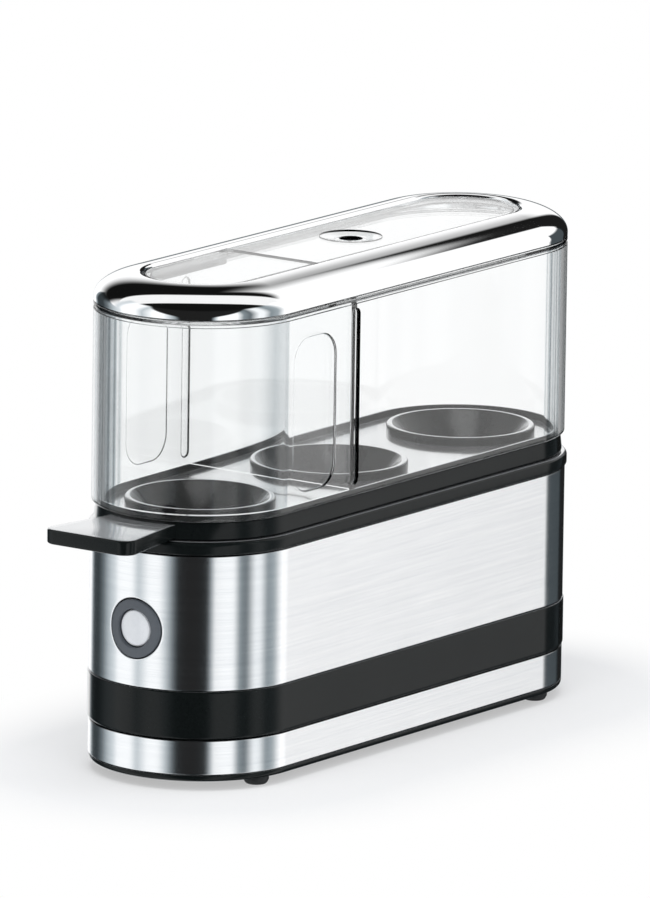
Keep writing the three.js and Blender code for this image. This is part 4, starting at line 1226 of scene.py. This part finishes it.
# %% Chrome frame
sheet = 1.0 * MM
dome_r, dome_z = window_radius - 1.3 * MM, chrome_z + 1.0 * MM
dome_wide, dome_high = hood_outer - dome_r, 7.905 * MM


def dome(inset, first):
    """Points of the quarter ellipse from the side up to the turn given in degrees."""
    turns = [math.radians(90 + (first - 90) * k / 40) for k in range(41)]
    wide, high = dome_wide - inset, dome_high - inset
    return [(dome_r + wide * math.sin(a), dome_z + high * math.cos(a)) for a in turns]


outside, underside = dome(0, 10.5), dome(sheet, 10)
lip_high, lip_foot = dome_z + dome_high * 0.9968, chrome_top - 2.1 * MM
lip = rounded([
    outside[-1], (window_radius, lip_high, 1.5 * MM), (window_radius, lip_foot, 0.2 * MM),
    (window_radius + sheet, lip_foot),
], 8)
edge = 0.15 * MM   # a small bevel, because a plated edge is never sharp
chrome = carried("chrome_dressed", [
    (hood_outer - sheet, chrome_z), (hood_outer - edge, chrome_z), (hood_outer, chrome_z + edge),
    *outside, *lip[1:], *reversed(underside),
], steps=128)
dress(chrome, "lid", "chrome_frame")

# %% [markdown]
# ## Camera
# The photograph looks at the button end from the left, a little from above, through a long
# lens. Its direction, its slight roll and its scale were measured on the photograph: how long
# the ends, the sides and the height appear, and how the two uprights at the corners lean.

# %% Camera
azimuth, elevation, roll = math.radians(-54.46), math.radians(11.95), math.radians(0.81)
distance = 4.99
pixels_per_metre = 3188.5   # of the photograph, at the anchor
image_width, image_height = 650, 898
anchor = Vector((middle, 0, levels("lower_steel_ring")[0]))   # the point the framing was measured from
anchor_pixel = (326.9, 711.7)

back = Vector((
    math.sin(azimuth) * math.cos(elevation), -math.cos(azimuth) * math.cos(elevation), math.sin(elevation),
))
level_right = Vector((math.cos(azimuth), math.sin(azimuth), 0))
level_up = back.cross(level_right)
right = math.cos(roll) * level_right + math.sin(roll) * level_up
up = math.cos(roll) * level_up - math.sin(roll) * level_right
aim = anchor
aim += right * (image_width / 2 - anchor_pixel[0]) / pixels_per_metre
aim += up * (anchor_pixel[1] - image_height / 2) / pixels_per_metre

camera_data = bpy.data.cameras.new("Camera")
camera = bpy.data.objects.new("Camera", camera_data)
bpy.context.scene.collection.objects.link(camera)
camera_data.sensor_width = 36.0
camera_data.lens = camera_data.sensor_width * distance * pixels_per_metre / image_height
camera_data.clip_start, camera_data.clip_end = 0.1, 100
turned_to_view = Matrix((right, up, back)).transposed().to_4x4()
camera.matrix_world = Matrix.Translation(aim + back * distance) @ turned_to_view
bpy.context.scene.camera = camera
print(f"camera {distance} m away, lens {camera_data.lens:.0f} mm")

# %% [markdown]
# ## Floor
# The floor is plain and pale. Close to the cooker it takes light and shadow like a table, and
# within a hand's breadth it turns into the even white of the backdrop. The distance is taken
# from the track itself, so the soft shadow has the cooker's own outline. Mirror reflections
# pass through the floor: they see the studio described below, which is white down there too.


# %% What each ray finds
def seen_rays(t):
    """1 for rays that should find plain white, and 1 for rays that were mirrored on their way."""
    rays = t.node("ShaderNodeLightPath").outputs
    was_mirrored = t.math("GREATER_THAN", rays["Glossy Depth"], 0.5)
    unmirrored = t.minus(1, t.times(was_mirrored, 0.55))   # clear walls show some of the studio too
    through = t.times(rays["Is Transmission Ray"], unmirrored)
    mirrored = t.math("MAXIMUM", rays["Is Glossy Ray"], t.times(rays["Is Transmission Ray"], was_mirrored))
    return t.math("MAXIMUM", rays["Is Camera Ray"], through), mirrored


def mixed(t, factor, first, second):
    return t.node("ShaderNodeMixShader", {0: factor, 1: first.outputs[0], 2: second.outputs[0]})


# %% Floor
floor = new_object("floor", [(-6, -6, 0), (6, -6, 0), (6, 6, 0), (-6, 6, 0)], [(0, 1, 2, 3)])
floor_material = bpy.data.materials.new("Floor")
floor_material.use_nodes = True
t = Tree(floor_material.node_tree)
t.tree.nodes.remove(t.tree.nodes["Principled BSDF"])
place = t.node("ShaderNodeSeparateXYZ", {0: object_space(t)}).outputs
past_end = t.math("MAXIMUM", t.minus(t.math("ABSOLUTE", t.minus(place["X"], middle)), half_run), 0)
away = t.math("SQRT", t.plus(t.math("POWER", past_end, 2), t.math("POWER", place["Y"], 2)))
fade_start, fade_end, least = end_radius - 0.01, end_radius + 0.07, 0.45
fade = t.math("MAXIMUM", eased(t, away, fade_start, fade_end), least)
tone = between(t, noise(t, object_space(t), 300.0), (0.9, 0.905, 0.91), (0.88, 0.885, 0.89))
matte = t.node("ShaderNodeBsdfDiffuse", {"Color": tone})
white = t.node("ShaderNodeEmission", {"Color": (1, 1, 1, 1), "Strength": 1.0})
seen, mirrored = seen_rays(t)
blended = mixed(t, t.times(fade, seen), matte, white)
final = mixed(t, mirrored, blended, t.node("ShaderNodeBsdfTransparent"))
t.feed(t.tree.nodes["Material Output"].inputs["Surface"], final.outputs[0])
floor.data.materials.append(floor_material)
print("floor fades to white within", round((fade_end - end_radius) / MM), "mm")

# %% [markdown]
# ## Studio
# Polished metal looks like what stands round it. A product like this is photographed between
# large white cards with dark gaps between them, and those gaps draw the dark upright strips on
# the steel. Here the world plays that part for mirror reflections. Its brightness changes with
# the compass direction, and each number pair below is such a direction and how bright the card
# there is.

# %% Cards round the cooker
brightest = 1.22
card_list = [
    (0, 0.02), (10, 0.04), (38, 0.15), (44, 1.1), (60, 1.15), (66, 0.35), (72, 0.05), (86, 0.05),
    (96, 0.18), (108, 0.58), (117, 0.8), (122, 1.1), (140, 1.1), (149, 0.62), (162, 1.1), (174, 1.1),
    (182, 0.66), (189, 0.24), (194, 0.03), (225, 0.03), (229, 0.5), (233, 1.1), (253, 1.1), (260, 0.3),
    (268, 0.16), (278, 1.0), (284, 1.0), (293, 0.3), (303, 0.42), (314, 1.2), (324.8, 1.22), (330, 0.08),
]
world = bpy.data.worlds.new("Studio")
world.use_nodes = True
bpy.context.scene.world = world
t = Tree(world.node_tree)
direction = t.node("ShaderNodeTexCoord").outputs["Generated"]
parts = t.node("ShaderNodeSeparateXYZ", {0: direction}).outputs
turn = t.math("ARCTAN2", parts["Y"], parts["X"])
compass = t.math("DIVIDE", t.math("FLOORED_MODULO", turn, math.tau), math.tau)
degrees = t.times(compass, 360)
height = t.math("DEGREES", t.math("ARCSINE", parts["Z"]))
cards = ramp(t, compass, [(place / 360, grey / brightest) for place, grey in card_list])
print("cards round the cooker:", len(card_list))

# %% [markdown]
# White stands above the cards on the side that faces away from the camera, all but one dark
# panel past the far end, which draws the black band on the chrome there. Overhead it is dark,
# with one light strip across, square to the view. The chrome edge at the button end shows the
# dark, the strip as a light lens, and the dark again.


# %% Above the cards
def within(t, value, first, last, soft):
    """1 from first to last, with soft ends."""
    return t.minus(eased(t, value, first - soft, first), eased(t, value, last, last + soft))


grey_of_card = t.node("ShaderNodeRGBToBW", {0: cards}).outputs[0]
ahead = Vector((back.x, back.y, 0)).normalized()
towards = t.node("ShaderNodeVectorMath", {0: direction, 1: ahead}, operation="DOT_PRODUCT").outputs["Value"]
straight_ahead = within(t, degrees, 26, 52, 4)
rise = t.minus(22, t.times(grey_of_card, 44))   # the darker a card, the higher it stands
white_from = t.minus(t.times(t.minus(1, straight_ahead), rise), 3)
risen = eased(t, height, white_from, t.plus(white_from, 6))
beyond = t.times(risen, eased(t, t.times(towards, -1), 0.15, 0.35))
around = between(t, beyond, cards, 0.9)
print("the camera looks towards", round(math.degrees(math.atan2(-ahead.y, -ahead.x))), "degrees")

# %% [markdown]
# Two dark shapes are added to that. One is the panel past the far end. Its upper edge slopes
# and bends, so that on the chrome it draws an even band. The other is the dark gap behind the
# camera, made wider the higher it goes. Upright steel, seen from a little above, mirrors it
# where it is narrowest, and the rounded chrome above mirrors the wider part.

# %% Dark panel and dark gap
slope, bend_middle, bend = 0.375, 14.5, 0.0126   # of the panel's upper edge
off_middle = t.math("POWER", t.math("ABSOLUTE", t.minus(degrees, bend_middle)), 2)
panel_edge = t.plus(t.plus(height, t.times(degrees, slope)), t.times(off_middle, bend))
panel = t.times(within(t, degrees, 4, 23, 3), t.minus(1, eased(t, panel_edge, 39.1, 39.8)))
gap_middle, narrowest_at, widening = 208, -12, 0.8
from_gap = t.math("ABSOLUTE", t.minus(degrees, gap_middle))
wider_by = t.times(t.plus(height, -narrowest_at), widening)
gap = t.minus(1, eased(t, t.minus(from_gap, wider_by), 13, 20))
around = between(t, gap, between(t, panel, around, 0.01), 0.012)
print("nodes in the studio's tree so far:", len(t.tree.nodes))

# %% Overhead, and what each kind of ray finds
left_of_view = t.math("MINIMUM", t.math("MAXIMUM", t.minus(degrees, 35), 0), 60)
lowered = t.plus(height, t.times(left_of_view, 0.25))
dark_edge = t.times(eased(t, lowered, 16, 33), within(t, degrees, 32, 92, 20))
dark_above = t.math("MAXIMUM", dark_edge, eased(t, height, 40, 48))
lean_back = t.math("DEGREES", t.math("ARCTAN2", towards, parts["Z"]))
strip = within(t, lean_back, -31, -1, 3)
studio = between(t, dark_above, around, between(t, strip, 0.005, 0.79))

seen, mirrored = seen_rays(t)
pale = t.node("ShaderNodeBackground", {"Color": (0.92, 0.95, 1.0, 1), "Strength": 0.55})
mirror = t.node("ShaderNodeBackground", {"Color": studio, "Strength": brightest})
white = t.node("ShaderNodeBackground", {"Color": (1, 1, 1, 1), "Strength": 1.0})
final = mixed(t, seen, mixed(t, mirrored, pale, mirror), white)
t.feed(t.tree.nodes["World Output"].inputs["Surface"], final.outputs[0])
print("nodes in the studio's tree:", len(t.tree.nodes))

# %% [markdown]
# Two soft lamps give the plastics and the floor their light and their soft shadow. They are
# left out of mirror reflections, because the cards above already stand for them there.


# %% Lamps
def soft_lamp(name, place, size, power):
    data = bpy.data.lights.new(name, "AREA")
    data.shape, data.size, data.energy = "DISK", size, power
    lamp = bpy.data.objects.new(name, data)
    bpy.context.scene.collection.objects.link(lamp)
    lamp.location = place
    lamp.rotation_euler = (Vector((0, 0, 0.07)) - Vector(place)).to_track_quat("-Z", "Y").to_euler()
    lamp.visible_glossy = False
    return lamp


soft_lamp("key", (-0.6, -0.3, 1.6), 1.2, 14)
soft_lamp("fill", (-1.0, -1.4, 0.8), 1.4, 8)
bpy.context.scene.view_settings.view_transform = "Standard"
